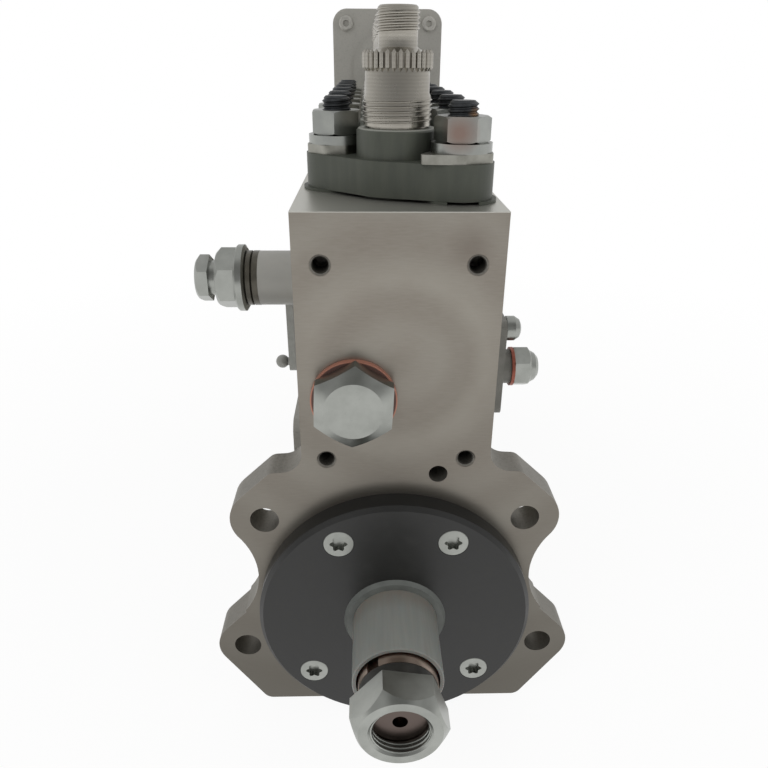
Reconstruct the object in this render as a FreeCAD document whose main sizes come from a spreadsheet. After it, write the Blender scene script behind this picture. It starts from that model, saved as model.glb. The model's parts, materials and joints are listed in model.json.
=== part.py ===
"""In-line six cylinder diesel injection pump with a mechanical governor.

X points to the right seen from the drive end, Y runs from the drive end to the
governor and Z points up. The origin is on the camshaft axis, in the machined
front face of the pump housing. Lengths are millimetres, angles are degrees.
"""
import FreeCAD
import Part
import math
import os
import re
import Sketcher

V = FreeCAD.Vector

SIZES = {
    # Pump housing
    "body_length": 240.0,
    "body_width": 69.0,
    "body_top": 158.0,
    "crankcase_width": 88.0,
    "crankcase_shoulder": 26.0,
    "crankcase_slope": 14.0,
    "base_depth": 53.5,
    "base_width": 68.0,
    "base_corner": 10.0,
    # Drive end flange
    "ear_thickness": 14.0,
    "ear_hole": 11.0,
    "ear_circle": 130.0,
    "upper_ear_angle": 40.0,
    "lower_ear_angle": 20.0,
    "upper_ear": 13.2,
    "lower_ear": 12.0,
    "ear_shoulder_angle": 47.0,
    "ear_shoulder_run": 16.5,
    "ear_shoulder_rise": 21.6,
    "ear_shoulder_fillet": 8.0,
    "ear_neck_angle": 37.8,
    "ear_saddle_angle": 43.9,
    "ear_saddle_run": 13.5,
    "ear_foot_angle": 33.7,
    "ear_corner": 4.5,
    "ear_root": 38.0,
    "ear_top_margin": 12.0,
    "waist_radius": 29.75,
    "waist_offset": 83.7,
    "waist_height": 15.5,
    "face_hole": 5.8,
    "face_hole_depth": 14.0,
    "face_hole_sink": 0.7,
    "face_hole_spread": 50.8,
    "face_hole_low": 68.5,
    "face_hole_high": 141.0,
    "oil_hole": 7.0,
    "oil_hole_across": 15.6,
    "oil_hole_height": 62.0,
    "oil_hole_depth": 18.0,
    # Camshaft, bearings and drive
    "chamber_radius": 33.0,
    "bearing_outer": 62.0,
    "bearing_length": 16.0,
    "bearing_step": 3.0,
    "race_wall": 5.0,
    "roller_gap": 0.3,
    "journal": 30.0,
    "cam_base": 32.0,
    "cam_nose": 14.0,
    "cam_lift": 11.0,
    "cam_width": 14.0,
    "cam_rest_turn": 30.0,
    "drive_eccentric": 4.0,
    "taper_large": 30.0,
    "taper_small": 28.6,
    "taper_length": 32.5,
    "shaft_thread": 20.0,
    "shaft_end": 55.8,
    "centre_hole": 5.3,
    "centre_hole_depth": 8.0,
    "sleeve_outer": 33.0,
    "sleeve_length": 29.0,
    "sleeve_bore": 30.2,
    "sleeve_bevel": 0.3,
    "spring_washer": 28.2,
    "spring_washer_thickness": 2.4,
    "shaft_washer_thickness": 2.6,
    "spring_washer_slit": 2.0,
    "nut_across": 30.0,
    "nut_length": 12.0,
    "nut_bevel": 3.1,
    "nut_bevel_length": 4.2,
    "key_width": 5.0,
    "key_length": 14.0,
    "key_height": 2.2,
    # Bearing cover
    "pilot": 107.0,
    "pilot_length": 9.2,
    "pilot_bevel": 1.6,
    "cover_spigot": 3.0,
    "cover_screw_circle": 86.0,
    "cover_screw_upper": 60.0,
    "cover_screw_lower": 40.0,
    "cover_screw": 6.0,
    "cover_screw_head": 11.7,
    "cover_screw_sink": 3.3,
    "cover_screw_length": 20.0,
    "recess": 4.6,
    "recess_depth": 2.4,
    "seal_outer": 40.0,
    "seal_length": 9.0,
    "seal_proud": 1.8,
    "seal_gap": 0.05,
    # Pumping elements
    "element_pitch": 35.0,
    "first_element": 32.5,
    "element_count": 6.0,
    "stud_across": 20.7,
    "stud_along": 12.3,
    "flange_middle": 16.0,
    "flange_end": 11.0,
    "flange_thickness": 11.5,
    "shim_thickness": 1.0,
    "shim_radius": 12.4,
    "collar": 27.4,
    "collar_height": 9.3,
    "element_bore": 26.0,
    "element_fit": 0.05,
    "barrel_bottom": 102.0,
    "plunger": 11.0,
    "plunger_fit": 0.03,
    "plunger_top": 146.0,
    "valve_seat": 152.0,
    "valve_pocket": 20.0,
    "gallery_height": 119.0,
    "gallery_radius": 16.2,
    "gallery_depth": 12.0,
    "spill_port": 3.0,
    # Delivery valve holders
    "holder_gap": 0.8,
    "holder_thread": 23.8,
    "holder_thread_top": 189.8,
    "holder_body": 21.3,
    "spline_low": 197.0,
    "spline_high": 203.5,
    "spline_outer": 23.2,
    "spline_teeth": 33.0,
    "spline_depth": 0.9,
    "holder_neck": 12.8,
    "outlet_thread": 14.0,
    "outlet_low": 208.0,
    "outlet_top": 216.0,
    "outlet_bevel": 1.0,
    "outlet_cone": 8.0,
    "outlet_bore": 2.4,
    "holder_cavity": 9.0,
    "holder_cavity_top": 192.0,
    # Element clamping
    "stud": 10.0,
    "stud_top": 189.0,
    "stud_depth": 20.0,
    "stud_bevel": 1.2,
    "lock_plate": 3.0,
    "washer": 20.0,
    "washer_thickness": 3.0,
    "element_nut": 16.0,
    "element_nut_height": 8.0,
    "element_nut_bevel": 1.1,
    # Rack, control sleeves, tappets
    "rack_across": 15.15,
    "rack_height": 93.2,
    "rack": 13.0,
    "rack_fit": 0.08,
    "rack_front": 24.0,
    "rack_reach": 22.0,
    "rack_travel": 10.5,
    "rack_slot_top": 94.9,
    "pin_slack": 0.65,
    "arm_pin": 4.4,
    "arm_pin_top": 93.2,
    "arm_low": 83.5,
    "arm_high": 86.3,
    "sleeve_radius": 8.2,
    "sleeve_low": 82.5,
    "sleeve_high": 101.5,
    "control_room_left": 23.0,
    "control_room_right": 19.0,
    "control_room_low": 82.2,
    "control_room_end": 13.0,
    "tappet": 30.0,
    "tappet_fit": 0.05,
    "tappet_low": 36.0,
    "tappet_high": 60.0,
    "tappet_roller": 20.0,
    "tappet_roller_width": 12.0,
    "tappet_pin": 8.0,
    "cam_gap": 0.3,
    "spring_high": 80.0,
    "spring_outer": 27.0,
    "spring_wire": 3.0,
    "seat_thickness": 2.0,
    # Rack plug
    "plug_across": 27.0,
    "plug_length": 8.0,
    "plug_bevel": 3.4,
    "plug_flat": 20.6,
    "plug_thread": 20.0,
    "plug_thread_length": 12.0,
    "plug_washer": 30.3,
    "plug_washer_thickness": 2.0,
    # Overflow valve on the left
    "overflow_along": 60.0,
    "overflow_sleeve": 22.0,
    "overflow_sleeve_end": 53.9,
    "overflow_bore": 12.0,
    "overflow_ring": 22.2,
    "overflow_ring_thickness": 2.6,
    "overflow_collar": 27.0,
    "overflow_collar_thickness": 4.0,
    "overflow_across": 22.0,
    "overflow_hex_length": 7.8,
    "overflow_neck": 14.0,
    "overflow_neck_length": 3.1,
    "overflow_cap_across": 17.0,
    "overflow_cap_length": 5.3,
    # Blanked pad on the left
    "pad_start": 45.0,
    "pad_end": 95.0,
    "pad_low": 22.0,
    "pad_high": 59.0,
    "pad_height": 5.0,
    "pad_corner": 6.0,
    "blank_thickness": 3.1,
    "blank_screw": 6.0,
    "blank_screw_inset": 7.0,
    "blank_screw_head": 10.0,
    "blank_screw_head_height": 2.4,
    "blank_socket": 4.0,
    "blank_socket_depth": 1.6,
    "blank_screw_grip": 6.0,
    # Feed pump on the right
    "feed_along": 190.0,
    "feed_flange": 52.0,
    "feed_flange_thickness": 7.0,
    "feed_barrel": 31.0,
    "feed_barrel_reach": 24.0,
    "feed_block_gap": 13.0,
    "feed_block_reach": 31.0,
    "feed_block_width": 32.0,
    "feed_block_low": 7.0,
    "feed_block_high": 56.0,
    "feed_boss": 22.0,
    "feed_boss_height": 20.6,
    "feed_boss_reach": 37.2,
    "feed_washer_thickness": 2.0,
    "feed_washer": 25.0,
    "feed_plug_across": 23.0,
    "feed_plug_reach": 55.0,
    "feed_plug_bevel": 5.0,
    "vent_height": 46.9,
    "vent_across": 13.5,
    "vent_reach": 42.1,
    "vent_seat": 2.0,
    "feed_screw": 6.0,
    "feed_screw_circle": 42.0,
    "feed_screw_head": 10.0,
    "feed_screw_head_height": 5.0,
    # Governor
    "governor_length": 62.0,
    "governor_width": 104.0,
    "governor_top": 118.0,
    "governor_low": 50.0,
    "governor_wall": 6.0,
    "governor_corner": 14.0,
    "governor_cover": 18.0,
    "governor_cover_corner": 6.0,
    "governor_screw": 6.0,
    "governor_screw_head": 10.0,
    "governor_screw_head_height": 6.0,
    "governor_screw_inset": 9.0,
    "hub": 46.0,
    "hub_offset": 10.0,
    "hub_length": 8.0,
    "weight_length": 24.0,
    "weight_reach": 34.0,
    "weight_width": 26.0,
    "weight_inner": 14.0,
    # Boost compensator
    "compensator_setback": 18.0,
    "compensator_plate": 6.0,
    "compensator_width": 66.5,
    "compensator_height": 66.4,
    "compensator_top": 227.4,
    "compensator_centre": 2.95,
    "compensator_corner": 8.5,
    "compensator_can_length": 26.0,
    "compensator_pad": 42.0,
    "compensator_pad_height": 1.2,
    "compensator_screw_spread": 50.5,
    "compensator_screw": 5.0,
    "compensator_screw_head": 8.5,
    "compensator_screw_head_height": 2.4,
    "compensator_neck_width": 42.0,
    "compensator_neck_depth": 20.0,
    # Levers
    "lever_inset": 25.0,
    "lever_height": 50.0,
    "lever_shaft": 10.0,
    "lever_fit": 0.05,
    "lever_gap": 12.0,
    "lever_thickness": 5.0,
    "lever_reach": 58.0,
    "lever_hub": 20.0,
    "lever_tip": 14.0,
    "ball": 10.0,
    "ball_offset": 5.6,
    "ball_neck": 6.0,
    "stop_inset": 17.0,
    "stop_height": 70.0,
    "stop_reach": 34.0,
    "stop_gap": 5.0,
}

# Places that follow from the sizes above

DERIVED = {
    "governor_start": "body_length",
    "hub_start": "body_length + hub_offset",
    "rack_rear": "body_length + rack_reach",
    "compensator_face": "body_length + compensator_setback",
    "lever_along": "body_length + lever_inset",
    "stop_along": "body_length + governor_length - stop_inset",
    "lever_inner": "governor_width / 2 + lever_gap",
    "stop_inner": "governor_width / 2 + stop_gap",
    "feed_block_start": "crankcase_width / 2 + feed_block_gap",
    "feed_barrel_end": "crankcase_width / 2 + feed_barrel_reach",
    "feed_block_end": "crankcase_width / 2 + feed_block_reach",
    "feed_boss_end": "crankcase_width / 2 + feed_boss_reach",
    "feed_plug_end": "crankcase_width / 2 + feed_plug_reach",
    "vent_end": "crankcase_width / 2 + vent_reach",
}

doc = FreeCAD.newDocument("InjectionPump")
sheet = doc.addObject("Spreadsheet::Sheet", "Sizes")
cells = [(alias, repr(value)) for alias, value in SIZES.items()]
cells += [(alias, "=" + formula) for alias, formula in DERIVED.items()]
for row, (alias, content) in enumerate(cells, start=1):
    sheet.set("A%d" % row, alias)
    sheet.set("B%d" % row, content)
    sheet.setAlias("B%d" % row, alias)
doc.recompute()

ALIAS = re.compile(r"\b(" + "|".join(sorted(dict(cells), key=len, reverse=True)) + r")\b")


def linked(formula):
    """Write a formula of size names as an expression that reads the sheet."""
    return ALIAS.sub(r"Sizes.\1", formula)


def bind(thing, **formulas):
    """Tie properties of an object to formulas of the sheet's sizes."""
    for prop, formula in formulas.items():
        thing.setExpression(prop, linked(formula))
    return thing


def place(thing, x="0", y="0", z="0"):
    """Tie an object's position to the sheet."""
    for axis, formula in zip("xyz", (x, y, z)):
        thing.setExpression("Placement.Base." + axis, linked(formula))
    return thing


TURNS = {
    "Z": FreeCAD.Rotation(),
    "X": FreeCAD.Rotation(V(0, 1, 0), 90),
    "Y": FreeCAD.Rotation(V(1, 0, 0), -90),
}


def rod(name, radius, length, x="0", y="0", z="0", axis="Z"):
    """A round rod that starts at a point and runs along +X, +Y or +Z."""
    thing = doc.addObject("Part::Cylinder", name)
    thing.Placement.Rotation = TURNS[axis]
    bind(thing, Radius=radius, Height=length)
    return place(thing, x, y, z)


def taper(name, start_radius, end_radius, length, x="0", y="0", z="0", axis="Z"):
    """A cone frustum that starts at a point and runs along +X, +Y or +Z."""
    thing = doc.addObject("Part::Cone", name)
    thing.Placement.Rotation = TURNS[axis]
    bind(thing, Radius1=start_radius, Radius2=end_radius, Height=length)
    return place(thing, x, y, z)


def block(name, x, y, z):
    """A box between two limits along each axis."""
    thing = doc.addObject("Part::Box", name)
    spans = ["(%s) - (%s)" % (high, low) for low, high in (x, y, z)]
    bind(thing, Length=spans[0], Width=spans[1], Height=spans[2])
    return place(thing, x[0], y[0], z[0])


def hexagon(name, across, length, x="0", y="0", z="0", axis="Z"):
    """A hexagonal bar of a given size across the flats."""
    thing = doc.addObject("Part::Prism", name)
    thing.Polygon = 6
    thing.Placement.Rotation = TURNS[axis]
    bind(thing, Circumradius="(%s) / sqrt(3)" % across, Height=length)
    return place(thing, x, y, z)


def fuse(name, shapes):
    thing = doc.addObject("Part::MultiFuse", name)
    thing.Shapes = shapes
    thing.Refine = True
    return thing


def cut(name, base, tools):
    """Take one or more tools away from a base."""
    thing = doc.addObject("Part::Cut", name)
    thing.Base = base
    thing.Tool = tools[0] if len(tools) == 1 else fuse(name + "_tools", tools)
    thing.Refine = True
    return thing


def common(name, shapes):
    thing = doc.addObject("Part::MultiCommon", name)
    thing.Shapes = shapes
    return thing


def group(name, members):
    """Several loose copies of one fastener, kept as separate solids."""
    thing = doc.addObject("Part::Compound", name)
    thing.Links = members
    return thing


def copy_of(master, name, x="0", y="0", z="0", axis=V(0, 0, 1), turn=0.0):
    """A linked copy of a master piece, moved by formulas and turned."""
    thing = doc.addObject("App::Link", name)
    thing.LinkedObject = master
    thing.LinkTransform = True
    thing.Placement = FreeCAD.Placement(V(0, 0, 0), FreeCAD.Rotation(axis, turn))
    return place(thing, x, y, z)


def sketch_on(body, role, name, corners):
    """A closed outline of straight lines whose corners are tied to the sheet."""
    sketch = body.newObject("Sketcher::SketchObject", name)
    plane = [item for item in body.Origin.OriginFeatures if item.Role == role][0]
    sketch.AttachmentSupport = [(plane, "")]
    sketch.MapMode = "FlatFace"
    count = len(corners)
    steps = [2 * math.pi * i / count for i in range(count)]
    rough = [V(40 + 20 * math.cos(step), 40 + 20 * math.sin(step), 0) for step in steps]
    for i in range(count):
        sketch.addGeometry(Part.LineSegment(rough[i], rough[(i + 1) % count]))
    for i in range(count):
        sketch.addConstraint(Sketcher.Constraint("Coincident", i, 2, (i + 1) % count, 1))
    for i, corner in enumerate(corners):
        for kind, value, formula in zip("XY", (rough[i].x, rough[i].y), corner):
            name = "%s%d" % (kind.lower(), i)
            number = sketch.addConstraint(Sketcher.Constraint("Distance" + kind, -1, 1, i, 1, value))
            sketch.renameConstraint(number, name)
            sketch.setExpression("Constraints." + name, linked(formula))
    return sketch


def new_body(name):
    return doc.addObject("PartDesign::Body", name)


def turned(name, axis, outline):
    """A piece turned about X, Y or Z from an outline of (along, radius) corners."""
    body = new_body(name)
    role = "XZ_Plane" if axis == "Z" else "XY_Plane"
    corners = outline if axis == "X" else [(radius, along) for along, radius in outline]
    sketch = sketch_on(body, role, name + "_outline", corners)
    turn = body.newObject("PartDesign::Revolution", name + "_turn")
    turn.Profile = sketch
    turn.ReferenceAxis = (sketch, ["H_Axis" if axis == "X" else "V_Axis"])
    turn.Angle = 360
    sketch.Visibility = False
    return body


def ring(name, axis, start, end, outer, inner):
    """A plain ring or tube between two stations on an axis."""
    outline = [(start, inner), (end, inner), (end, outer), (start, outer)]
    return turned(name, axis, outline)


def slab(name, role, corners, thickness, backwards=False):
    """A body padded from an outline in one of the three main planes."""
    body = new_body(name)
    sketch = sketch_on(body, role, name + "_outline", corners)
    pad = body.newObject("PartDesign::Pad", name + "_pad")
    pad.Profile = sketch
    pad.Reversed = backwards
    bind(pad, Length=thickness)
    return body


def round_edges(body, name, wanted, radius):
    """Round the edges of a body's tip that a test picks."""
    doc.recompute()
    base = body.Tip
    picked = ["Edge%d" % i for i, edge in enumerate(base.Shape.Edges, 1) if wanted(edge)]
    fillet = body.newObject("PartDesign::Fillet", name)
    fillet.Base = (base, picked)
    bind(fillet, Radius=radius)
    doc.recompute()
    return fillet


def runs_along(edge, direction):
    """True for a straight edge that is parallel to a direction."""
    straight = edge.Curve.TypeId == "Part::GeomLine"
    return straight and abs(abs(edge.tangentAt(edge.FirstParameter).dot(direction)) - 1) < 1e-6


ALONG_X, ALONG_Y, ALONG_Z = V(1, 0, 0), V(0, 1, 0), V(0, 0, 1)
COUNT = int(SIZES["element_count"])
ELEMENTS = range(COUNT)


def element_y(index):
    """Formula for an element's place along the pump."""
    return "(first_element + %d * element_pitch)" % index


# Pump housing casting

def housing_casting():
    """The outer form: block, crankcase, four bolt ears and the blanked pad."""
    half = "body_width / 2"
    wide = "crankcase_width / 2"
    foot = "base_width / 2"
    right = [
        (foot, "-base_depth"),
        (wide, "base_corner - base_depth"),
        (wide, "crankcase_slope"),
        (half, "crankcase_shoulder"),
        (half, "body_top"),
    ]
    left = [("-(%s)" % x, z) for x, z in reversed(right)]
    section = slab("housing_block", "XZ_Plane", right + left, "body_length", True)

    ears = new_body("housing_ears")
    upper_x = "ear_circle / 2 * cos(upper_ear_angle * 1deg)"
    upper_z = "ear_circle / 2 * sin(upper_ear_angle * 1deg)"
    lower_x = "ear_circle / 2 * cos(lower_ear_angle * 1deg)"
    lower_z = "-ear_circle / 2 * sin(lower_ear_angle * 1deg)"
    foot_x = "(%s + (lower_ear - (base_depth + %s) * sin(ear_foot_angle * 1deg)) / cos(ear_foot_angle * 1deg))"

    def on_lobe(x, z, radius, angle, sign="+"):
        """A point on a lobe's circle, given by the angle of its normal."""
        return ("%s + %s * cos(%s * 1deg)" % (x, radius, angle),
                "%s %s %s * sin(%s * 1deg)" % (z, sign, radius, angle))

    def from_point(point, run, angle):
        """The end of a straight run along the tangent of a lobe."""
        return ("%s - %s * sin(%s * 1deg)" % (point[0], run, angle),
                "%s + %s * cos(%s * 1deg)" % (point[1], run, angle))

    saddle = on_lobe(lower_x, lower_z, "lower_ear", "ear_saddle_angle")
    shoulder = on_lobe(upper_x, upper_z, "upper_ear", "ear_shoulder_angle")
    side = [
        ("ear_root", "-base_depth"),
        (foot_x % (lower_x, lower_z), "-base_depth"),
        on_lobe(lower_x, lower_z, "lower_ear", "ear_foot_angle", "-"),
        saddle,
        from_point(saddle, "ear_saddle_run", "ear_saddle_angle"),
        on_lobe(upper_x, upper_z, "upper_ear", "ear_neck_angle", "-"),
        shoulder,
        from_point(shoulder, "ear_shoulder_run", "ear_shoulder_angle"),
        ("body_width / 2", "%s + ear_shoulder_rise" % upper_z),
        ("body_width / 2", "%s + ear_shoulder_rise + ear_top_margin" % upper_z),
    ]
    mirrored = [("-(%s)" % x, z) for x, z in reversed(side)]
    sketch = sketch_on(ears, "XZ_Plane", "ear_outline", side + mirrored)
    pad = ears.newObject("PartDesign::Pad", "ear_pad")
    pad.Profile = sketch
    pad.Reversed = True
    bind(pad, Length="ear_thickness")
    root = SIZES["body_width"] / 2 + 1
    lobe_top = SIZES["ear_circle"] / 2 * math.sin(math.radians(SIZES["upper_ear_angle"]))
    shoulder_low = lobe_top + SIZES["upper_ear"] + 2

    def outer_corner(edge):
        """The corners of the shoulder and of the foot."""
        middle = edge.CenterOfMass
        outside = abs(middle.x) > SIZES["ear_root"] + 1
        return runs_along(edge, ALONG_Y) and outside and (middle.z > shoulder_low
                                                          or middle.z < 0.01 - SIZES["base_depth"])

    def shoulder_root(edge):
        """The inner corner between an ear and the side of the block."""
        middle = edge.CenterOfMass
        below_top = middle.z < lobe_top + SIZES["ear_shoulder_rise"] + 1
        return runs_along(edge, ALONG_Y) and abs(middle.x) < root and shoulder_low < middle.z and below_top

    round_edges(ears, "ear_rounding", outer_corner, "ear_corner")
    round_edges(ears, "ear_fillet", shoulder_root, "ear_shoulder_fillet")
    lobes = [
        rod("%s_ear_%s" % (level, hand), "%s_ear" % level, "ear_thickness", way + x, "0", z, "Y")
        for level, x, z in (("upper", upper_x, upper_z), ("lower", lower_x, lower_z))
        for hand, way in (("right", ""), ("left", "-"))
    ]
    waists = [
        rod("waist_%s" % name, "waist_radius", "ear_thickness + 2", across, "-1", "waist_height", "Y")
        for name, across in (("right", "waist_offset"), ("left", "-waist_offset"))
    ]
    webs = cut("housing_flange", fuse("ear_blank", [ears] + lobes), waists)

    pad_body = new_body("housing_pad")
    pad_corners = [
        ("pad_start", "pad_low"),
        ("pad_end", "pad_low"),
        ("pad_end", "pad_high"),
        ("pad_start", "pad_high"),
    ]
    pad_sketch = sketch_on(pad_body, "YZ_Plane", "pad_outline", pad_corners)
    lift = pad_body.newObject("PartDesign::Pad", "pad_lift")
    lift.Profile = pad_sketch
    lift.Reversed = True
    bind(lift, Length="body_width / 2 + pad_height")
    round_edges(pad_body, "pad_rounding", lambda edge: runs_along(edge, ALONG_X), "pad_corner")

    feed_seat = rod(
        "feed_seat", "feed_flange / 2", "crankcase_width / 2 - chamber_radius / 2",
        "chamber_radius / 2", "feed_along", "0", "X"
    )
    return fuse("housing_casting", [section, webs, pad_body, feed_seat])


def ear_holes():
    """Four bolt holes through the ears."""
    holes = []
    for name, angle, sign in (("upper", "upper_ear_angle", ""), ("lower", "lower_ear_angle", "-")):
        for side, way in (("right", ""), ("left", "-")):
            holes.append(rod(
                "ear_hole_%s_%s" % (name, side), "ear_hole / 2", "ear_thickness + 2",
                "%sear_circle / 2 * cos(%s * 1deg)" % (way, angle), "-1",
                "%sear_circle / 2 * sin(%s * 1deg)" % (sign, angle), "Y",
            ))
    return holes


def face_holes():
    """Four tapped holes of the front face, each with a small countersink."""
    holes = []
    for side, way in (("right", ""), ("left", "-")):
        for level in ("face_hole_low", "face_hole_high"):
            x = "%sface_hole_spread / 2" % way
            name = "%s_%s" % (level, side)
            holes.append(rod(name, "face_hole / 2", "face_hole_depth", x, "0", level, "Y"))
            holes.append(taper(
                name + "_sink", "face_hole / 2 + face_hole_sink", "face_hole / 2",
                "face_hole_sink", x, "0", level, "Y",
            ))
    holes.append(rod(
        "oil_hole", "oil_hole / 2", "oil_hole_depth", "oil_hole_across", "0", "oil_hole_height", "Y"
    ))
    return holes


def camshaft_room():
    """The cam chamber and the bearing bores at its ends."""
    chamber = rod(
        "cam_chamber", "chamber_radius", "body_length - 2 * (bearing_step + bearing_length)",
        "0", "bearing_step + bearing_length", "0", "Y",
    )
    through = rod("bearing_bore", "bearing_outer / 2", "body_length", "0", "0", "0", "Y")
    return [chamber, through]


def element_rooms():
    """For each element its bore, fuel groove, spring bore and stud holes."""
    tools = []
    for index in ELEMENTS:
        y = element_y(index)
        tag = "_%d" % (index + 1)
        tools.append(rod(
            "element_bore" + tag, "element_bore / 2", "body_top + 1 - control_room_low",
            "0", y, "control_room_low",
        ))
        tools.append(rod(
            "fuel_groove" + tag, "gallery_radius", "gallery_depth",
            "0", y, "gallery_height - gallery_depth / 2",
        ))
        tools.append(rod(
            "tappet_bore" + tag, "tappet / 2", "control_room_low + 6 - chamber_radius", "0", y,
            "chamber_radius - 5",
        ))
        for side, way in (("right", 1), ("left", -1)):
            tools.append(rod(
                "stud_hole_%s%s" % (side, tag), "stud / 2", "stud_depth + 1",
                "%d * stud_across" % way, "%s - %d * stud_along" % (y, way), "body_top - stud_depth",
            ))
    return tools


def passages():
    """Control rack bore and room, fuel gallery and side ports."""
    room = block(
        "control_room",
        ("-control_room_left", "control_room_right"),
        ("control_room_end", "body_length - control_room_end"),
        ("control_room_low", "barrel_bottom"),
    )
    rack_bore = rod(
        "rack_bore", "rack / 2 + rack_fit", "body_length + 2", "-rack_across", "-1", "rack_height", "Y"
    )
    plug_bore = rod(
        "plug_bore", "plug_thread / 2", "plug_thread_length + 0.5", "-rack_across", "0", "rack_height",
        "Y",
    )
    gallery = rod(
        "fuel_gallery", "4", "element_pitch * (element_count - 1)", "gallery_radius - 3",
        "first_element", "gallery_height", "Y",
    )
    overflow = rod(
        "overflow_port", "overflow_bore / 2", "body_width / 2", "-body_width / 2",
        "overflow_along", "gallery_height", "X",
    )
    feed_bore = rod(
        "feed_bore", "9", "crankcase_width / 2", "20", "feed_along", "0", "X"
    )
    return [room, rack_bore, plug_bore, gallery, overflow, feed_bore]


def cover_screw_places():
    """Formulas of the four cover screw centres."""
    places = []
    for angle, sign in (("cover_screw_upper", ""), ("cover_screw_lower", "-")):
        for way in ("", "-"):
            places.append((
                "%scover_screw_circle / 2 * cos(%s * 1deg)" % (way, angle),
                "%scover_screw_circle / 2 * sin(%s * 1deg)" % (sign, angle),
            ))
    return places


def blank_screw_places():
    """Formulas of the four screws of the blanking plate, along and up."""
    return [
        (y, z)
        for y in ("pad_start + blank_screw_inset", "pad_end - blank_screw_inset")
        for z in ("pad_low + blank_screw_inset", "pad_high - blank_screw_inset")
    ]


def feed_screw_places():
    """Formulas of the three feed pump screws, from the pump's own axis."""
    return [
        ("%g * feed_screw_circle" % (math.cos(math.radians(turn)) / 2),
         "%g * feed_screw_circle" % (math.sin(math.radians(turn)) / 2))
        for turn in (-60, -120, 180)
    ]


def screw_holes():
    """Blind holes that the cover, pad and feed pump screws fill."""
    holes = []
    for number, (y, z) in enumerate(blank_screw_places(), 1):
        holes.append(rod(
            "pad_hole_%d" % number, "blank_screw / 2", "6", "-body_width / 2 - pad_height", y, z, "X"
        ))
    for number, (y, z) in enumerate(feed_screw_places(), 1):
        holes.append(rod(
            "feed_hole_%d" % number, "feed_screw / 2", "6", "crankcase_width / 2 - 6",
            "feed_along + %s" % y, z, "X",
        ))
    for number, (x, z) in enumerate(cover_screw_places(), 1):
        holes.append(rod(
            "cover_hole_%d" % number, "cover_screw / 2", "cover_screw_length - pilot_length",
            x, "0", z, "Y",
        ))
    return holes


drilled = cut("housing_drilled", housing_casting(), ear_holes() + face_holes() + screw_holes())
bored = cut("housing_bored", drilled, element_rooms())
hollow = cut("housing_hollow", bored, camshaft_room())
housing = cut("housing", hollow, passages())


# Drive end: bearing cover, seal, bearings

cover_form = turned("cover_form", "Y", [
    ("-pilot_length", "seal_outer / 2"),
    ("-pilot_length", "pilot / 2 - pilot_bevel"),
    ("pilot_bevel - pilot_length", "pilot / 2"),
    ("0", "pilot / 2"),
    ("0", "bearing_outer / 2 - 0.05"),
    ("cover_spigot", "bearing_outer / 2 - 0.05"),
    ("cover_spigot", "journal / 2 + 4"),
    ("-0.5", "journal / 2 + 4"),
    ("-0.5", "seal_outer / 2"),
])
cover_cuts = []
for number, (across, height) in enumerate(cover_screw_places(), 1):
    tag = "_%d" % number
    cover_cuts.append(rod("cover_bore" + tag, "cover_screw / 2", "pilot_length + 1", across,
                          "-pilot_length - 0.5", height, "Y"))
    cover_cuts.append(taper("cover_sink" + tag, "cover_screw_head / 2", "cover_screw / 2",
                            "cover_screw_sink", across, "-pilot_length", height, "Y"))
bearing_cover = cut("bearing_cover", cover_form, cover_cuts)

screw_form = turned("cover_screw_form", "Y", [
    ("0", "0"),
    ("0", "cover_screw_head / 2"),
    ("cover_screw_sink", "cover_screw / 2"),
    ("cover_screw_length", "cover_screw / 2"),
    ("cover_screw_length", "0"),
])
screw_recess = taper("cover_screw_recess", "recess / 2", "recess / 2 - 0.3", "recess_depth", axis="Y")
screw_master = cut("cover_screw_master", screw_form, [screw_recess])
cover_screws = group("cover_screws", [
    copy_of(screw_master, "cover_screw_copy_%d" % number, across, "-pilot_length", height)
    for number, (across, height) in enumerate(cover_screw_places(), 1)
])

shaft_seal = turned("shaft_seal", "Y", [
    ("-pilot_length - seal_proud", "sleeve_outer / 2 + seal_gap"),
    ("-pilot_length - seal_proud", "seal_outer / 2 - 1"),
    ("-pilot_length", "seal_outer / 2"),
    ("-0.5", "seal_outer / 2"),
    ("-0.5", "sleeve_outer / 2 + 2"),
    ("-pilot_length + 3", "sleeve_outer / 2 + 2"),
    ("-pilot_length + 3", "sleeve_outer / 2 + seal_gap"),
])

front_start = "cover_spigot"
rear_start = "body_length - bearing_step - bearing_length"


def bearing(name, start):
    """Outer and inner race with their row of rollers."""
    end = "%s + bearing_length" % start
    outer = ring(name + "_outer_race", "Y", start, end, "bearing_outer / 2",
                 "bearing_outer / 2 - race_wall")
    inner = ring(name + "_inner_race", "Y", start, end, "journal / 2 + race_wall", "journal / 2")
    return outer, inner


front_outer, front_inner = bearing("front_bearing", front_start)
rear_outer, rear_inner = bearing("rear_bearing", rear_start)
roller_radius = "(bearing_outer / 2 - journal / 2 - 2 * race_wall - 2 * roller_gap) / 2"
roller_circle = "(bearing_outer / 2 + journal / 2) / 2"
ROLLERS = 12
roller_copies = []
for name, start in (("front", front_start), ("rear", rear_start)):
    for number in range(ROLLERS):
        turn = 360.0 / ROLLERS * number
        roller_copies.append(rod(
            "%s_roller_%d" % (name, number + 1), roller_radius, "bearing_length - 3",
            "%s * cos(%g * 1deg)" % (roller_circle, turn), "%s + 1.5" % start,
            "%s * sin(%g * 1deg)" % (roller_circle, turn), "Y",
        ))
bearing_rollers = group("bearing_rollers", roller_copies)


# Camshaft with its cams, key, sleeve, spring washer and nut

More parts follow.
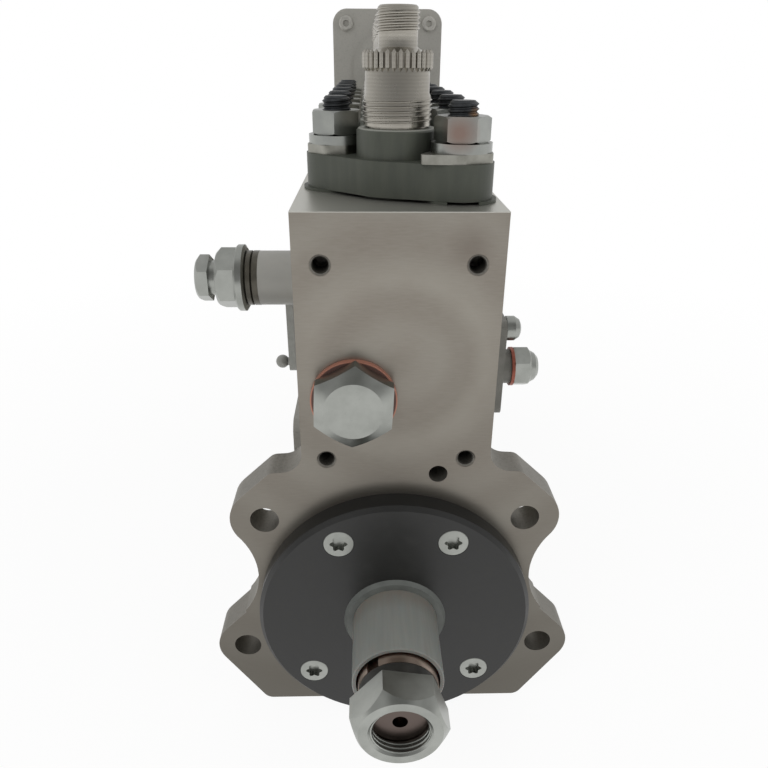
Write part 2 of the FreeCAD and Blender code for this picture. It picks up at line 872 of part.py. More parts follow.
LIFT_ORDER = (0, 240, 120, 300, 60, 180)
shaft_start = "-pilot_length - seal_proud"
shaft_form = turned("camshaft_form", "Y", [
    ("-shaft_end", "0"),
    ("-shaft_end", "shaft_thread / 2"),
    ("%s - taper_length" % shaft_start, "shaft_thread / 2"),
    ("%s - taper_length" % shaft_start, "taper_small / 2"),
    (shaft_start, "taper_large / 2"),
    (front_start, "journal / 2"),
    ("cover_spigot + bearing_length", "journal / 2"),
    ("cover_spigot + bearing_length", "cam_base / 2"),
    (rear_start, "cam_base / 2"),
    (rear_start, "journal / 2"),
    ("hub_start + hub_length", "journal / 2"),
    ("hub_start + hub_length", "0"),
])


def cam(index):
    """One cam: a base circle, a nose circle and the flanks tangent to both."""
    tag = "_%d" % (index + 1)
    turn = LIFT_ORDER[index] + SIZES["cam_rest_turn"]
    reach = "(cam_base / 2 + cam_lift - cam_nose / 2)"
    lean = "acos((cam_base / 2 - cam_nose / 2) / %s)" % reach
    flank = [
        ("cam_base / 2 * sin(%s)" % lean, "cam_base / 2 * cos(%s)" % lean),
        ("cam_nose / 2 * sin(%s)" % lean, "%s + cam_nose / 2 * cos(%s)" % (reach, lean)),
    ]
    mirror = [("-(%s)" % x, z) for x, z in reversed(flank)]
    flanks = slab("cam_flanks" + tag, "XZ_Plane", flank + mirror, "cam_width", True)
    base = rod("cam_base_circle" + tag, "cam_base / 2", "cam_width", axis="Y")
    nose = rod("cam_nose_circle" + tag, "cam_nose / 2", "cam_width", "0", "0", reach, "Y")
    blank = fuse("cam_blank" + tag, [flanks, base, nose])
    start = "%s - cam_width / 2" % element_y(index)
    return copy_of(blank, "cam" + tag, "0", start, "0", ALONG_Y, turn)


eccentric = rod("feed_eccentric", "cam_base / 2 + 2", "cam_width / 2 + 1", "0",
                "feed_along - cam_width / 4 - 0.5", "-drive_eccentric", "Y")
centre_bore = rod("centre_bore", "centre_hole / 2", "centre_hole_depth", "0", "-shaft_end", "0", "Y")
key_middle = "(%s - taper_length / 2)" % shaft_start
key_seat = "(taper_small / 4 + taper_large / 4 - key_height)"
KEY_TURN = -40.0
key_form = block("key_form", ("-key_width / 2", "key_width / 2"),
                 ("%s - key_length / 2" % key_middle, "%s + key_length / 2" % key_middle),
                 (key_seat, "%s + 2 * key_height" % key_seat))
key_slot_form = block("key_slot_form", ("-key_width / 2", "key_width / 2"),
                      ("%s - taper_length - 1" % shaft_start, "%s + key_length / 2" % key_middle),
                      (key_seat, "%s + 2 * key_height" % key_seat))
key_slot = copy_of(key_slot_form, "key_slot", axis=ALONG_Y, turn=KEY_TURN)
camshaft = cut("camshaft", fuse("camshaft_blank", [shaft_form] + [cam(i) for i in ELEMENTS] + [eccentric]),
               [centre_bore, key_slot])
key_limit = rod("key_limit", "taper_large / 2", "taper_length", "0",
                "%s - taper_length" % shaft_start, "0", "Y")
shaft_key = common("shaft_key", [copy_of(key_form, "key_turned", axis=ALONG_Y, turn=KEY_TURN), key_limit])

seal_sleeve = turned("shaft_sleeve", "Y", [
    ("%s - sleeve_length" % shaft_start, "sleeve_bore / 2"),
    ("%s - sleeve_length" % shaft_start, "sleeve_outer / 2 - sleeve_bevel"),
    ("%s - sleeve_length + sleeve_bevel" % shaft_start, "sleeve_outer / 2"),
    ("%s + 3" % shaft_start, "sleeve_outer / 2"),
    ("%s + 3" % shaft_start, "sleeve_bore / 2"),
])

taper_end = "(%s - taper_length)" % shaft_start
shaft_washer = ring("shaft_washer", "Y", "%s - shaft_washer_thickness" % taper_end, taper_end,
                    "spring_washer / 2", "shaft_thread / 2 + 0.3")
washer_start = "(%s - shaft_washer_thickness - spring_washer_thickness)" % taper_end
washer_form = ring("spring_washer_form", "Y", washer_start,
                   "%s + spring_washer_thickness" % washer_start,
                   "spring_washer / 2", "shaft_thread / 2 + 0.3")
washer_slit = block("spring_washer_cut", ("0", "spring_washer"),
                    ("%s - 1" % washer_start, "%s + spring_washer_thickness + 1" % washer_start),
                    ("-spring_washer_slit / 2", "spring_washer_slit / 2"))
shaft_spring_washer = cut("shaft_spring_washer", washer_form, [washer_slit])

NUT_TURN = 10.0
nut_form = turned("shaft_nut_form", "Y", [
    ("%s - nut_length" % washer_start, "shaft_thread / 2 + 1"),
    ("%s - nut_length" % washer_start, "nut_across / sqrt(3) - nut_bevel"),
    ("%s - nut_length + nut_bevel_length" % washer_start, "nut_across / sqrt(3) + 0.1"),
    (washer_start, "nut_across / sqrt(3) + 0.1"),
    (washer_start, "shaft_thread / 2"),
    ("%s - nut_length + 1" % washer_start, "shaft_thread / 2"),
])
nut_hexagon = hexagon("shaft_nut_hexagon", "nut_across", "nut_length", "0",
                      "%s - nut_length" % washer_start, "0", "Y")
nut_hexagon.Placement.Rotation = FreeCAD.Rotation(ALONG_Y, NUT_TURN).multiply(TURNS["Y"])
shaft_nut = common("shaft_nut", [nut_form, nut_hexagon])


# Pumping elements

def flange_form():
    """The lozenge flange of an element: a middle circle and two end circles."""
    reach = "sqrt(stud_across ^ 2 + stud_along ^ 2)"
    lean = "acos((flange_middle - flange_end) / %s)" % reach
    middle = ("flange_middle * cos(%s)" % lean, "flange_middle * sin(%s)" % lean)
    end = ("%s + flange_end * cos(%s)" % (reach, lean), "flange_end * sin(%s)" % lean)
    corners = [
        (middle[0], "-(%s)" % middle[1]),
        (end[0], "-(%s)" % end[1]),
        end,
        middle,
        ("-(%s)" % middle[0], middle[1]),
        ("-(%s)" % end[0], end[1]),
        ("-(%s)" % end[0], "-(%s)" % end[1]),
        ("-(%s)" % middle[0], "-(%s)" % middle[1]),
    ]
    low = "(body_top + shim_thickness)"
    web = slab("flange_web", "XY_Plane", corners, "flange_thickness")
    place(web, z=low)
    parts = [web, rod("flange_round", "flange_middle", "flange_thickness", z=low)]
    for side, way in (("right", ""), ("left", "-")):
        parts.append(rod("flange_end_%s" % side, "flange_end", "flange_thickness",
                         "%s%s" % (way, reach), "0", low))
    form = fuse("flange_blank", parts)
    lean_angle = -math.degrees(math.atan2(SIZES["stud_along"], SIZES["stud_across"]))
    return copy_of(form, "flange_turned", turn=lean_angle)


flange_top = "(body_top + shim_thickness + flange_thickness)"
barrel_form = turned("barrel_form", "Z", [
    ("barrel_bottom", "plunger / 2"),
    ("barrel_bottom", "element_bore / 2 - element_fit"),
    ("gallery_height - gallery_depth / 2 + 1", "element_bore / 2 - element_fit"),
    ("gallery_height - gallery_depth / 2 + 1", "element_bore / 2 - 1.5"),
    ("gallery_height + gallery_depth / 2 - 1", "element_bore / 2 - 1.5"),
    ("gallery_height + gallery_depth / 2 - 1", "element_bore / 2 - element_fit"),
    ("%s - 1" % flange_top, "element_bore / 2 - element_fit"),
    ("%s - 1" % flange_top, "collar / 2"),
    ("%s + collar_height - 0.8" % flange_top, "collar / 2"),
    ("%s + collar_height" % flange_top, "collar / 2 - 0.8"),
    ("%s + collar_height" % flange_top, "valve_pocket / 2"),
    ("valve_seat", "valve_pocket / 2"),
    ("valve_seat", "plunger / 2"),
])
flange_holes = []
for side, way in (("right", 1), ("left", -1)):
    flange_holes.append(rod("flange_hole_%s" % side, "stud / 2 + 0.5", "flange_thickness + 2",
                            "%d * stud_across" % way, "-%d * stud_along" % way,
                            "body_top + shim_thickness - 1"))
flange_core = rod("flange_core", "valve_pocket / 2", "flange_thickness + collar_height", "0", "0",
                  "valve_seat")
port = rod("spill_port_bore", "spill_port / 2", "element_bore + 4", "-element_bore / 2 - 2", "0",
           "gallery_height", "X")
barrel_master = cut("barrel_master", fuse("barrel_blank", [flange_form(), barrel_form]),
                    flange_holes + [flange_core, port])

holder_low = "(valve_seat + 8)"
holder_form = turned("holder_form", "Z", [
    (holder_low, "holder_cavity / 2"),
    (holder_low, "valve_pocket / 2"),
    ("%s + collar_height + holder_gap" % flange_top, "valve_pocket / 2"),
    ("%s + collar_height + holder_gap" % flange_top, "holder_thread / 2"),
    ("holder_thread_top", "holder_thread / 2"),
    ("holder_thread_top + 1.4", "holder_body / 2"),
    ("spline_low - 0.2", "holder_body / 2"),
    ("spline_low", "spline_outer / 2 - spline_depth"),
    ("spline_high - 0.2", "spline_outer / 2 - spline_depth"),
    ("spline_high", "holder_neck / 2 + 0.6"),
    ("spline_high + 0.6", "holder_neck / 2"),
    ("outlet_low - 0.6", "holder_neck / 2"),
    ("outlet_low", "outlet_thread / 2"),
    ("outlet_top - outlet_bevel", "outlet_thread / 2"),
    ("outlet_top", "outlet_thread / 2 - outlet_bevel"),
    ("outlet_top", "outlet_cone / 2"),
    ("outlet_top - outlet_cone / 2 + outlet_bore / 2", "outlet_bore / 2"),
    ("holder_cavity_top + 2", "outlet_bore / 2"),
    ("holder_cavity_top", "holder_cavity / 2"),
])


def spline_ring():
    """The toothed ring on the holder that a lock spanner grips."""
    teeth = int(SIZES["spline_teeth"])
    corners = []
    for tooth in range(teeth):
        for share, radius in ((0.0, "spline_outer / 2"), (0.5, "(spline_outer / 2 - spline_depth)")):
            turn = 360.0 * (tooth + share) / teeth
            corners.append(("%s * cos(%.6f * 1deg)" % (radius, turn),
                            "%s * sin(%.6f * 1deg)" % (radius, turn)))
    star = slab("spline_star", "XY_Plane", corners, "spline_high - spline_low")
    place(star, z="spline_low")
    bevel = turned("spline_bevel", "Z", [
        ("spline_low", "0"),
        ("spline_low", "spline_outer / 2 - spline_depth"),
        ("spline_low + spline_depth * 1.2", "spline_outer / 2"),
        ("spline_high - spline_depth * 1.4", "spline_outer / 2"),
        ("spline_high", "spline_outer / 2 - spline_depth * 1.4"),
        ("spline_high", "0"),
    ])
    return common("spline_ring", [star, bevel])


spline_hole = rod("spline_hole", "outlet_bore / 2", "spline_high - spline_low + 2", z="spline_low - 1")
holder_master = fuse("holder_master", [holder_form, cut("spline_teeth_ring", spline_ring(), [spline_hole])])

NODES = []


def node(thing, label=None):
    """Remember a finished piece; its label is the name of its file."""
    thing.Label = label or thing.Name
    NODES.append(thing)
    return thing


barrels = []
holders = []
for index in ELEMENTS:
    tag = "_%d" % (index + 1)
    barrels.append(copy_of(barrel_master, "flanged_barrel" + tag, y=element_y(index)))
    holders.append(copy_of(holder_master, "delivery_valve_holder" + tag, y=element_y(index)))
node(group("flanged_barrels", barrels))
node(group("delivery_valve_holders", holders))


def at_studs(name, master, z, turns=(0.0, 180.0)):
    """Copies of a fastener at every element stud."""
    members = []
    for index in ELEMENTS:
        for side, way, turn in (("right", 1, turns[0]), ("left", -1, turns[1])):
            members.append(copy_of(
                master, "%s_%s_%d" % (name, side, index + 1), "%d * stud_across" % way,
                "%s - %d * stud_along" % (element_y(index), way), z, turn=turn,
            ))
    return node(group(name, members))


plate_top = "(%s + lock_plate)" % flange_top
nut_seat = "(%s + washer_thickness)" % plate_top
stud_master = turned("stud_master", "Z", [
    ("0", "0"),
    ("0", "stud / 2 - 1"),
    ("1", "stud / 2"),
    ("stud_top - body_top + stud_depth - stud_bevel", "stud / 2"),
    ("stud_top - body_top + stud_depth", "stud / 2 - stud_bevel"),
    ("stud_top - body_top + stud_depth", "0"),
])
element_studs = at_studs("element_studs", stud_master, "body_top - stud_depth")
washer_master = ring("washer_master", "Z", "0", "washer_thickness", "washer / 2", "stud / 2")
element_washers = at_studs("element_washers", washer_master, plate_top)
element_nut_form = turned("element_nut_form", "Z", [
    ("0", "stud / 2"),
    ("0", "element_nut / sqrt(3) - element_nut_bevel"),
    ("element_nut_bevel * 0.6", "element_nut / sqrt(3)"),
    ("element_nut_height - element_nut_bevel * 0.6", "element_nut / sqrt(3)"),
    ("element_nut_height", "element_nut / sqrt(3) - element_nut_bevel"),
    ("element_nut_height", "stud / 2"),
])
element_nut_hexagon = hexagon("element_nut_hexagon", "element_nut", "element_nut_height")
element_nut_master = common("element_nut_master", [element_nut_form, element_nut_hexagon])
element_nuts = at_studs("element_nuts", element_nut_master, nut_seat, (-7.5, 26.3))

plate_form = slab("lock_plate_form", "XY_Plane", [
    ("-15", "-9.2"),
    ("0", "-10.4"),
    ("9.8", "-5.5"),
    ("10.4", "3.5"),
    ("4", "10.2"),
    ("-3.7", "9.4"),
    ("-9.6", "1"),
], "lock_plate")
round_edges(plate_form, "lock_plate_rounding", lambda edge: runs_along(edge, ALONG_Z), "2")
plate_hole = rod("lock_plate_hole", "stud / 2 + 0.3", "lock_plate + 2", z="-1")
plate_master = cut("lock_plate_master", plate_form, [plate_hole])
lock_plates = at_studs("lock_plates", plate_master, flange_top)

shim_form = rod("shim_form", "shim_radius", "shim_thickness")
shim_slot = block("shim_slot", ("-stud / 2 - 0.2", "stud / 2 + 0.2"), ("-shim_radius - 1", "0"),
                  ("-1", "shim_thickness + 1"))
shim_hole = rod("shim_hole", "stud / 2 + 0.2", "shim_thickness + 2", z="-1")
shim_inner = rod("shim_inner", "element_bore / 2 + 0.3", "shim_thickness + 2", "-stud_across",
                 "stud_along", "-1")
shim_master = cut("shim_master", shim_form, [shim_slot, shim_hole, shim_inner])
flange_shims = at_studs("flange_shims", shim_master, "body_top")


def at_elements(name, master, z="0"):
    """One copy of an inner piece at every element."""
    members = [
        copy_of(master, "%s_%d" % (name, index + 1), y=element_y(index), z=z) for index in ELEMENTS
    ]
    return node(group(name, members))


valve_master = turned("valve_master", "Z", [
    ("valve_seat", "0"),
    ("valve_seat", "valve_pocket / 2 - 0.02"),
    ("valve_seat + 8", "valve_pocket / 2 - 0.02"),
    ("valve_seat + 8", "holder_cavity / 2 - 1.2"),
    ("valve_seat + 14", "holder_cavity / 2 - 1.2"),
    ("valve_seat + 16", "1"),
    ("valve_seat + 16", "0"),
])
delivery_valves = at_elements("delivery_valves", valve_master)
valve_spring = ring("valve_spring", "Z", "valve_seat + 16", "holder_cavity_top",
                    "holder_cavity / 2 - 0.4", "holder_cavity / 2 - 1.4")
valve_springs = at_elements("delivery_valve_springs", valve_spring)


# Control rack, control sleeves and plungers

rack_rod = rod("rack_rod", "rack / 2", "rack_rear - rack_front", "-rack_across", "rack_front",
               "rack_height", "Y")
rack_slots = [
    block("rack_slot_%d" % (index + 1), ("-rack_across - rack", "-rack_across + rack"),
          ("%s - arm_pin / 2 - pin_slack" % element_y(index),
           "%s + arm_pin / 2 + pin_slack" % element_y(index)),
          ("rack_height - rack", "rack_slot_top"))
    for index in ELEMENTS
]
control_rack = node(cut("control_rack", rack_rod, rack_slots))

tappet_axis = "(cam_base / 2 + cam_lift + cam_gap + tappet_roller / 2)"
sleeve_ring = ring("sleeve_ring", "Z", "sleeve_low", "sleeve_high", "sleeve_radius", "plunger / 2")
sleeve_arm = block("sleeve_arm", ("-rack_across", "-plunger / 2 - 1"), ("-arm_pin / 2 - 0.6", "arm_pin / 2 + 0.6"),
                   ("arm_low", "arm_high"))
arm_end = rod("arm_end", "arm_pin / 2 + 0.6", "arm_high - arm_low", "-rack_across", "0", "arm_low")
arm_pin = rod("arm_pin", "arm_pin / 2", "arm_pin_top - arm_low", "-rack_across", "0", "arm_low")
sleeve_master = fuse("sleeve_master", [sleeve_ring, sleeve_arm, arm_end, arm_pin])

plunger_form = turned("plunger_form", "Z", [
    ("tappet_high + 0.3", "0"),
    ("tappet_high + 0.3", "7"),
    ("tappet_high + 2.3", "7"),
    ("tappet_high + 2.3", "plunger / 2 - 1.2"),
    ("tappet_high + 6", "plunger / 2 - 1.2"),
    ("tappet_high + 7", "plunger / 2 - plunger_fit"),
    ("plunger_top", "plunger / 2 - plunger_fit"),
    ("plunger_top", "0"),
])
spill_groove = ring("spill_groove", "Z", "plunger_top - 22", "plunger_top - 16", "plunger / 2 + 1",
                    "plunger / 2 - 1")
spill_slot = block("spill_slot", ("plunger / 2 - 1.4", "plunger"), ("-1.2", "1.2"),
                   ("plunger_top - 20", "plunger_top + 1"))
plunger_master = cut("plunger_master", plunger_form, [spill_groove, spill_slot])
for index in ELEMENTS:
    tag = "_%d" % (index + 1)
    node(copy_of(sleeve_master, "control_sleeve" + tag, y=element_y(index)))
    node(copy_of(plunger_master, "plunger" + tag, y=element_y(index)))


# Roller tappets and plunger springs, held at the top of their stroke

tappet_form = turned("tappet_form", "Z", [
    ("tappet_low", "0"),
    ("tappet_low", "tappet / 2 - tappet_fit"),
    ("tappet_high", "tappet / 2 - tappet_fit"),
    ("tappet_high", "0"),
])
roller_room = block("roller_room", ("-tappet", "tappet"),
                    ("-tappet_roller_width / 2 - 0.2", "tappet_roller_width / 2 + 0.2"),
                    ("tappet_low - 1", "%s + tappet_roller / 2 + 1" % tappet_axis))
pin_bore = rod("pin_bore", "tappet_pin / 2", "tappet", "0", "-tappet / 2", tappet_axis, "Y")
tappet_master = cut("tappet_master", tappet_form, [roller_room, pin_bore])
tappets = at_elements("tappets", tappet_master)
roller_form = rod("tappet_roller_form", "tappet_roller / 2", "tappet_roller_width", "0",
                  "-tappet_roller_width / 2", tappet_axis, "Y")
roller_bore = rod("tappet_roller_bore", "tappet_pin / 2", "tappet_roller_width + 2", "0",
                  "-tappet_roller_width / 2 - 1", tappet_axis, "Y")
tappet_rollers = at_elements("tappet_rollers", cut("tappet_roller_master", roller_form, [roller_bore]))
tappet_pin_master = rod("tappet_pin_master", "tappet_pin / 2", "tappet - 3", "0", "1.5 - tappet / 2",
                        tappet_axis, "Y")
tappet_pins = at_elements("tappet_pins", tappet_pin_master)
spring_master = ring("spring_master", "Z", "tappet_high", "spring_high", "spring_outer / 2",
                     "spring_outer / 2 - spring_wire")
plunger_springs = at_elements("plunger_springs", spring_master)
seat_master = ring("seat_master", "Z", "spring_high", "spring_high + seat_thickness",
                   "tappet / 2", "plunger / 2 + 1.5")
spring_seats = at_elements("spring_seats", seat_master)


# Rack bore plug and its washer

PLUG_TURN = 32.6
plug_form = turned("plug_form", "Y", [
    ("-plug_length - plug_washer_thickness", "0"),
    ("-plug_length - plug_washer_thickness", "plug_flat / 2"),
    ("-plug_length - plug_washer_thickness + plug_bevel", "plug_across / sqrt(3) + 0.1"),
    ("-plug_washer_thickness", "plug_across / sqrt(3) + 0.1"),
    ("-plug_washer_thickness", "0"),
])
plug_hexagon = hexagon("plug_hexagon", "plug_across", "plug_length", "0",
                       "-plug_length - plug_washer_thickness", "0", "Y")
plug_hexagon.Placement.Rotation = FreeCAD.Rotation(ALONG_Y, PLUG_TURN).multiply(TURNS["Y"])
plug_shank = rod("plug_shank", "plug_thread / 2", "plug_thread_length + plug_washer_thickness",
                 "0", "-plug_washer_thickness", "0", "Y")
rack_plug = node(copy_of(
    fuse("plug_blank", [common("plug_head", [plug_form, plug_hexagon]), plug_shank]),
    "rack_plug", "-rack_across", "0", "rack_height"))
rack_plug_washer = ring("plug_washer_form", "Y", "-plug_washer_thickness", "0", "plug_washer / 2",
                        "plug_thread / 2")
node(copy_of(rack_plug_washer, "rack_plug_washer", "-rack_across", "0", "rack_height"))


# Overflow valve on the left wall

wall = "(body_width / 2)"
overflow_sleeve = ring("overflow_sleeve_form", "X", "-overflow_sleeve_end", "-%s" % wall,
                       "overflow_sleeve / 2", "overflow_bore / 2")
node(copy_of(overflow_sleeve, "overflow_sleeve", "0", "overflow_along", "gallery_height"))
ring_end = "(overflow_sleeve_end + 2 * overflow_ring_thickness)"
ring_outline = [
    ("-%s" % ring_end, "overflow_bore / 2"),
    ("-%s" % ring_end, "overflow_ring / 2 - 0.5"),
    ("-%s + 0.5" % ring_end, "overflow_ring / 2"),
    ("-overflow_sleeve_end - overflow_ring_thickness - 0.4", "overflow_ring / 2"),
    ("-overflow_sleeve_end - overflow_ring_thickness", "overflow_ring / 2 - 0.9"),
    ("-overflow_sleeve_end - overflow_ring_thickness + 0.4", "overflow_ring / 2"),
    ("-overflow_sleeve_end", "overflow_ring / 2"),
    ("-overflow_sleeve_end", "overflow_bore / 2"),
]
node(copy_of(turned("overflow_rings_form", "X", ring_outline), "overflow_rings", "0",
             "overflow_along", "gallery_height"))
collar_end = "(%s + overflow_collar_thickness)" % ring_end
hex_end = "(%s + overflow_hex_length)" % collar_end
overflow_collar = turned("overflow_collar_form", "X", [
    ("-%s" % collar_end, "0"),
    ("-%s" % collar_end, "overflow_collar / 2 - 0.8"),
    ("-%s + 0.8" % collar_end, "overflow_collar / 2"),
    ("-%s - 0.8" % ring_end, "overflow_collar / 2"),
    ("-%s" % ring_end, "overflow_collar / 2 - 1.4"),
    ("-%s" % ring_end, "overflow_bore / 2"),
    ("-%s + 10" % wall, "overflow_bore / 2"),
    ("-%s + 10" % wall, "0"),
])
overflow_form = turned("overflow_hex_form", "X", [
    ("-%s" % hex_end, "0"),
    ("-%s" % hex_end, "overflow_across / sqrt(3) - 2"),
    ("-%s + 2" % hex_end, "overflow_across / sqrt(3)"),
    ("-%s" % collar_end, "overflow_across / sqrt(3)"),
    ("-%s" % collar_end, "0"),
])
overflow_hexagon = hexagon("overflow_hexagon", "overflow_across", "overflow_hex_length",
                           "-%s" % hex_end, "0", "0", "X")
overflow_head = common("overflow_head", [overflow_form, overflow_hexagon])
overflow_body = fuse("overflow_body_form", [overflow_collar, overflow_head])
node(copy_of(overflow_body, "overflow_valve_body", "0", "overflow_along", "gallery_height"))
cap_start = "(%s + overflow_neck_length)" % hex_end
cap_end = "(%s + overflow_cap_length)" % cap_start
cap_form = turned("overflow_cap_form", "X", [
    ("-%s" % cap_end, "0"),
    ("-%s" % cap_end, "overflow_cap_across / sqrt(3) - 2"),
    ("-%s + 1.6" % cap_end, "overflow_cap_across / sqrt(3)"),
    ("-%s" % cap_start, "overflow_cap_across / sqrt(3)"),
    ("-%s" % cap_start, "0"),
])
cap_hexagon = hexagon("overflow_cap_hexagon", "overflow_cap_across", "overflow_cap_length",
                      "-%s" % cap_end, "0", "0", "X")
cap_neck = rod("overflow_cap_neck", "overflow_neck / 2", "overflow_neck_length", "-%s" % cap_start,
               "0", "0", "X")
overflow_cap = fuse("overflow_cap_blank", [common("overflow_cap_head", [cap_form, cap_hexagon]), cap_neck])
node(copy_of(overflow_cap, "overflow_cap", "0", "overflow_along", "gallery_height"))


# Blanking plate of the spare side pad, with its screws

plate_corners = [
    ("pad_start", "pad_low"),
    ("pad_end", "pad_low"),
    ("pad_end", "pad_high"),
    ("pad_start", "pad_high"),
]
blank_form = slab("blank_form", "YZ_Plane", plate_corners, "blank_thickness", True)
round_edges(blank_form, "blank_rounding", lambda edge: runs_along(edge, ALONG_X), "pad_corner")
blank_places = blank_screw_places()
pad_face = "(-body_width / 2 - pad_height)"
blank_holes = []
for number, (y, z) in enumerate(blank_places, 1):
    blank_holes.append(rod("blank_hole_%d" % number, "blank_screw / 2", "blank_thickness + 2",
                           "-blank_thickness - 1", y, z, "X"))
    blank_holes.append(taper("blank_sink_%d" % number, "blank_screw_head / 2", "blank_screw / 2",
                             "blank_screw_head_height", "-blank_thickness", y, z, "X"))
node(copy_of(cut("blanking_plate_form", blank_form, blank_holes), "blanking_plate", pad_face))
blank_screw_form = turned("blank_screw_form", "X", [
    ("0", "0"),
    ("0", "blank_screw_head / 2"),
    ("blank_screw_head_height", "blank_screw / 2"),
    ("blank_thickness + blank_screw_grip", "blank_screw / 2"),
    ("blank_thickness + blank_screw_grip", "0"),
])
blank_socket = hexagon("blank_socket_form", "blank_socket", "blank_socket_depth", "0", "0", "0", "X")
blank_screw_master = cut("blank_screw_master", blank_screw_form, [blank_socket])
side_screws = [
    copy_of(blank_screw_master, "blank_screw_%d" % number, "%s - blank_thickness" % pad_face, y, z)
    for number, (y, z) in enumerate(blank_places, 1)
]


# Feed pump on the right wall of the crankcase

feed_face = "(crankcase_width / 2)"
feed_turned = turned("feed_turned", "X", [
    ("%s - 14" % feed_face, "0"),
    ("%s - 14" % feed_face, "8.8"),
    (feed_face, "8.8"),
    (feed_face, "feed_flange / 2"),
    ("%s + feed_flange_thickness" % feed_face, "feed_flange / 2"),
    ("%s + feed_flange_thickness" % feed_face, "feed_barrel / 2"),
    ("feed_barrel_end - 2", "feed_barrel / 2"),
    ("feed_barrel_end", "feed_barrel / 2 - 2"),
    ("feed_barrel_end", "0"),
])
feed_block = slab("feed_block", "YZ_Plane", [
    ("-feed_block_width / 2", "-feed_block_low"),
    ("feed_block_width / 2", "-feed_block_low"),
    ("feed_block_width / 2", "feed_block_high"),
    ("-feed_block_width / 2", "feed_block_high"),
], "feed_block_end - feed_block_start")
round_edges(feed_block, "feed_block_rounding", lambda edge: runs_along(edge, ALONG_X), "5")
feed_boss = rod("feed_boss", "feed_boss / 2", "feed_boss_end - feed_block_start", "feed_block_start",
                "0", "feed_boss_height", "X")
feed_bolt_holes = [
    rod("feed_bolt_hole_%d" % number, "feed_screw / 2", "feed_flange_thickness + 2",
        "%s - 1" % feed_face, y, z, "X")
    for number, (y, z) in enumerate(feed_screw_places(), 1)
]
feed_body = cut("feed_body", fuse("feed_blank", [
    feed_turned, copy_of(feed_block, "feed_block_placed", "feed_block_start"), feed_boss,
]), feed_bolt_holes)
node(copy_of(feed_body, "feed_pump_body", "0", "feed_along", "0"))
feed_screw_form = turned("feed_screw_form", "X", [
    ("-feed_flange_thickness - 6", "0"),
    ("-feed_flange_thickness - 6", "feed_screw / 2"),
    ("0", "feed_screw / 2"),
    ("0", "feed_screw_head / 2"),
    ("feed_screw_head_height", "feed_screw_head / 2"),
    ("feed_screw_head_height", "0"),
])
feed_screw_socket = hexagon("feed_screw_socket", "5", "3.5", "feed_screw_head_height - 3", "0", "0", "X")
feed_screw_master = cut("feed_screw_master", feed_screw_form, [feed_screw_socket])
side_screws += [
    copy_of(feed_screw_master, "feed_screw_%d" % number, "%s + feed_flange_thickness" % feed_face,
            "feed_along + %s" % y, z)
    for number, (y, z) in enumerate(feed_screw_places(), 1)
]
feed_washer = ring("feed_washer_form", "X", "feed_boss_end", "feed_boss_end + feed_washer_thickness",
                   "feed_washer / 2", "0.1")
node(copy_of(feed_washer, "feed_pump_washer", "0", "feed_along", "feed_boss_height"))
plug_seat = "(feed_boss_end + feed_washer_thickness)"
feed_plug_form = turned("feed_plug_form", "X", [
    (plug_seat, "0"),
    (plug_seat, "feed_plug_across / sqrt(3)"),
    ("feed_plug_end - feed_plug_bevel - 2", "feed_plug_across / sqrt(3)"),
    ("feed_plug_end - feed_plug_bevel", "feed_plug_across / 2 - 1"),
    ("feed_plug_end - feed_plug_bevel * 0.4", "feed_plug_across / 2 - 2.6"),
    ("feed_plug_end", "feed_plug_across / 2 - feed_plug_bevel"),
    ("feed_plug_end", "0"),
])
feed_plug_hexagon = hexagon("feed_plug_hexagon", "feed_plug_across", "feed_plug_end - %s" % plug_seat,
                            plug_seat, "0", "0", "X")
feed_plug = common("feed_plug_head", [feed_plug_form, feed_plug_hexagon])
node(copy_of(feed_plug, "feed_pump_plug", "0", "feed_along", "feed_boss_height"))
vent_form = turned("vent_form", "X", [
    ("feed_block_end", "0"),
    ("feed_block_end", "vent_across / 2 - 0.6"),
    ("feed_block_end + vent_seat", "vent_across / 2 - 0.6"),
    ("feed_block_end + vent_seat", "vent_across / sqrt(3)"),
    ("vent_end - 4", "vent_across / sqrt(3)"),
    ("vent_end - 1", "vent_across / sqrt(3) - 2"),
    ("vent_end", "vent_across / sqrt(3) - 4"),
    ("vent_end", "0"),
])
node(copy_of(vent_form, "feed_pump_vent", "0", "feed_along", "vent_height"))


# Governor housing, cover and screws

governor_end = "(governor_start + governor_length)"
governor_half = "(governor_width / 2)"


def governor_outline(inset):
    """The governor's outline seen from the rear, moved inwards by an inset."""
    return [
        ("-%s + %s" % (governor_half, inset), "-governor_low + %s" % inset),
        ("%s - %s" % (governor_half, inset), "-governor_low + %s" % inset),
        ("%s - %s" % (governor_half, inset), "governor_top - 26"),
        ("%s - 20" % governor_half, "governor_top - %s" % inset),
        ("-%s + 20" % governor_half, "governor_top - %s" % inset),
        ("-%s + %s" % (governor_half, inset), "governor_top - 26"),
    ]


def governor_slab(name, inset, start, length, corner):
    body = slab(name, "XZ_Plane", governor_outline(inset), length, True)
    round_edges(body, name + "_rounding", lambda edge: runs_along(edge, ALONG_Y), corner)
    return place(body, y=start)


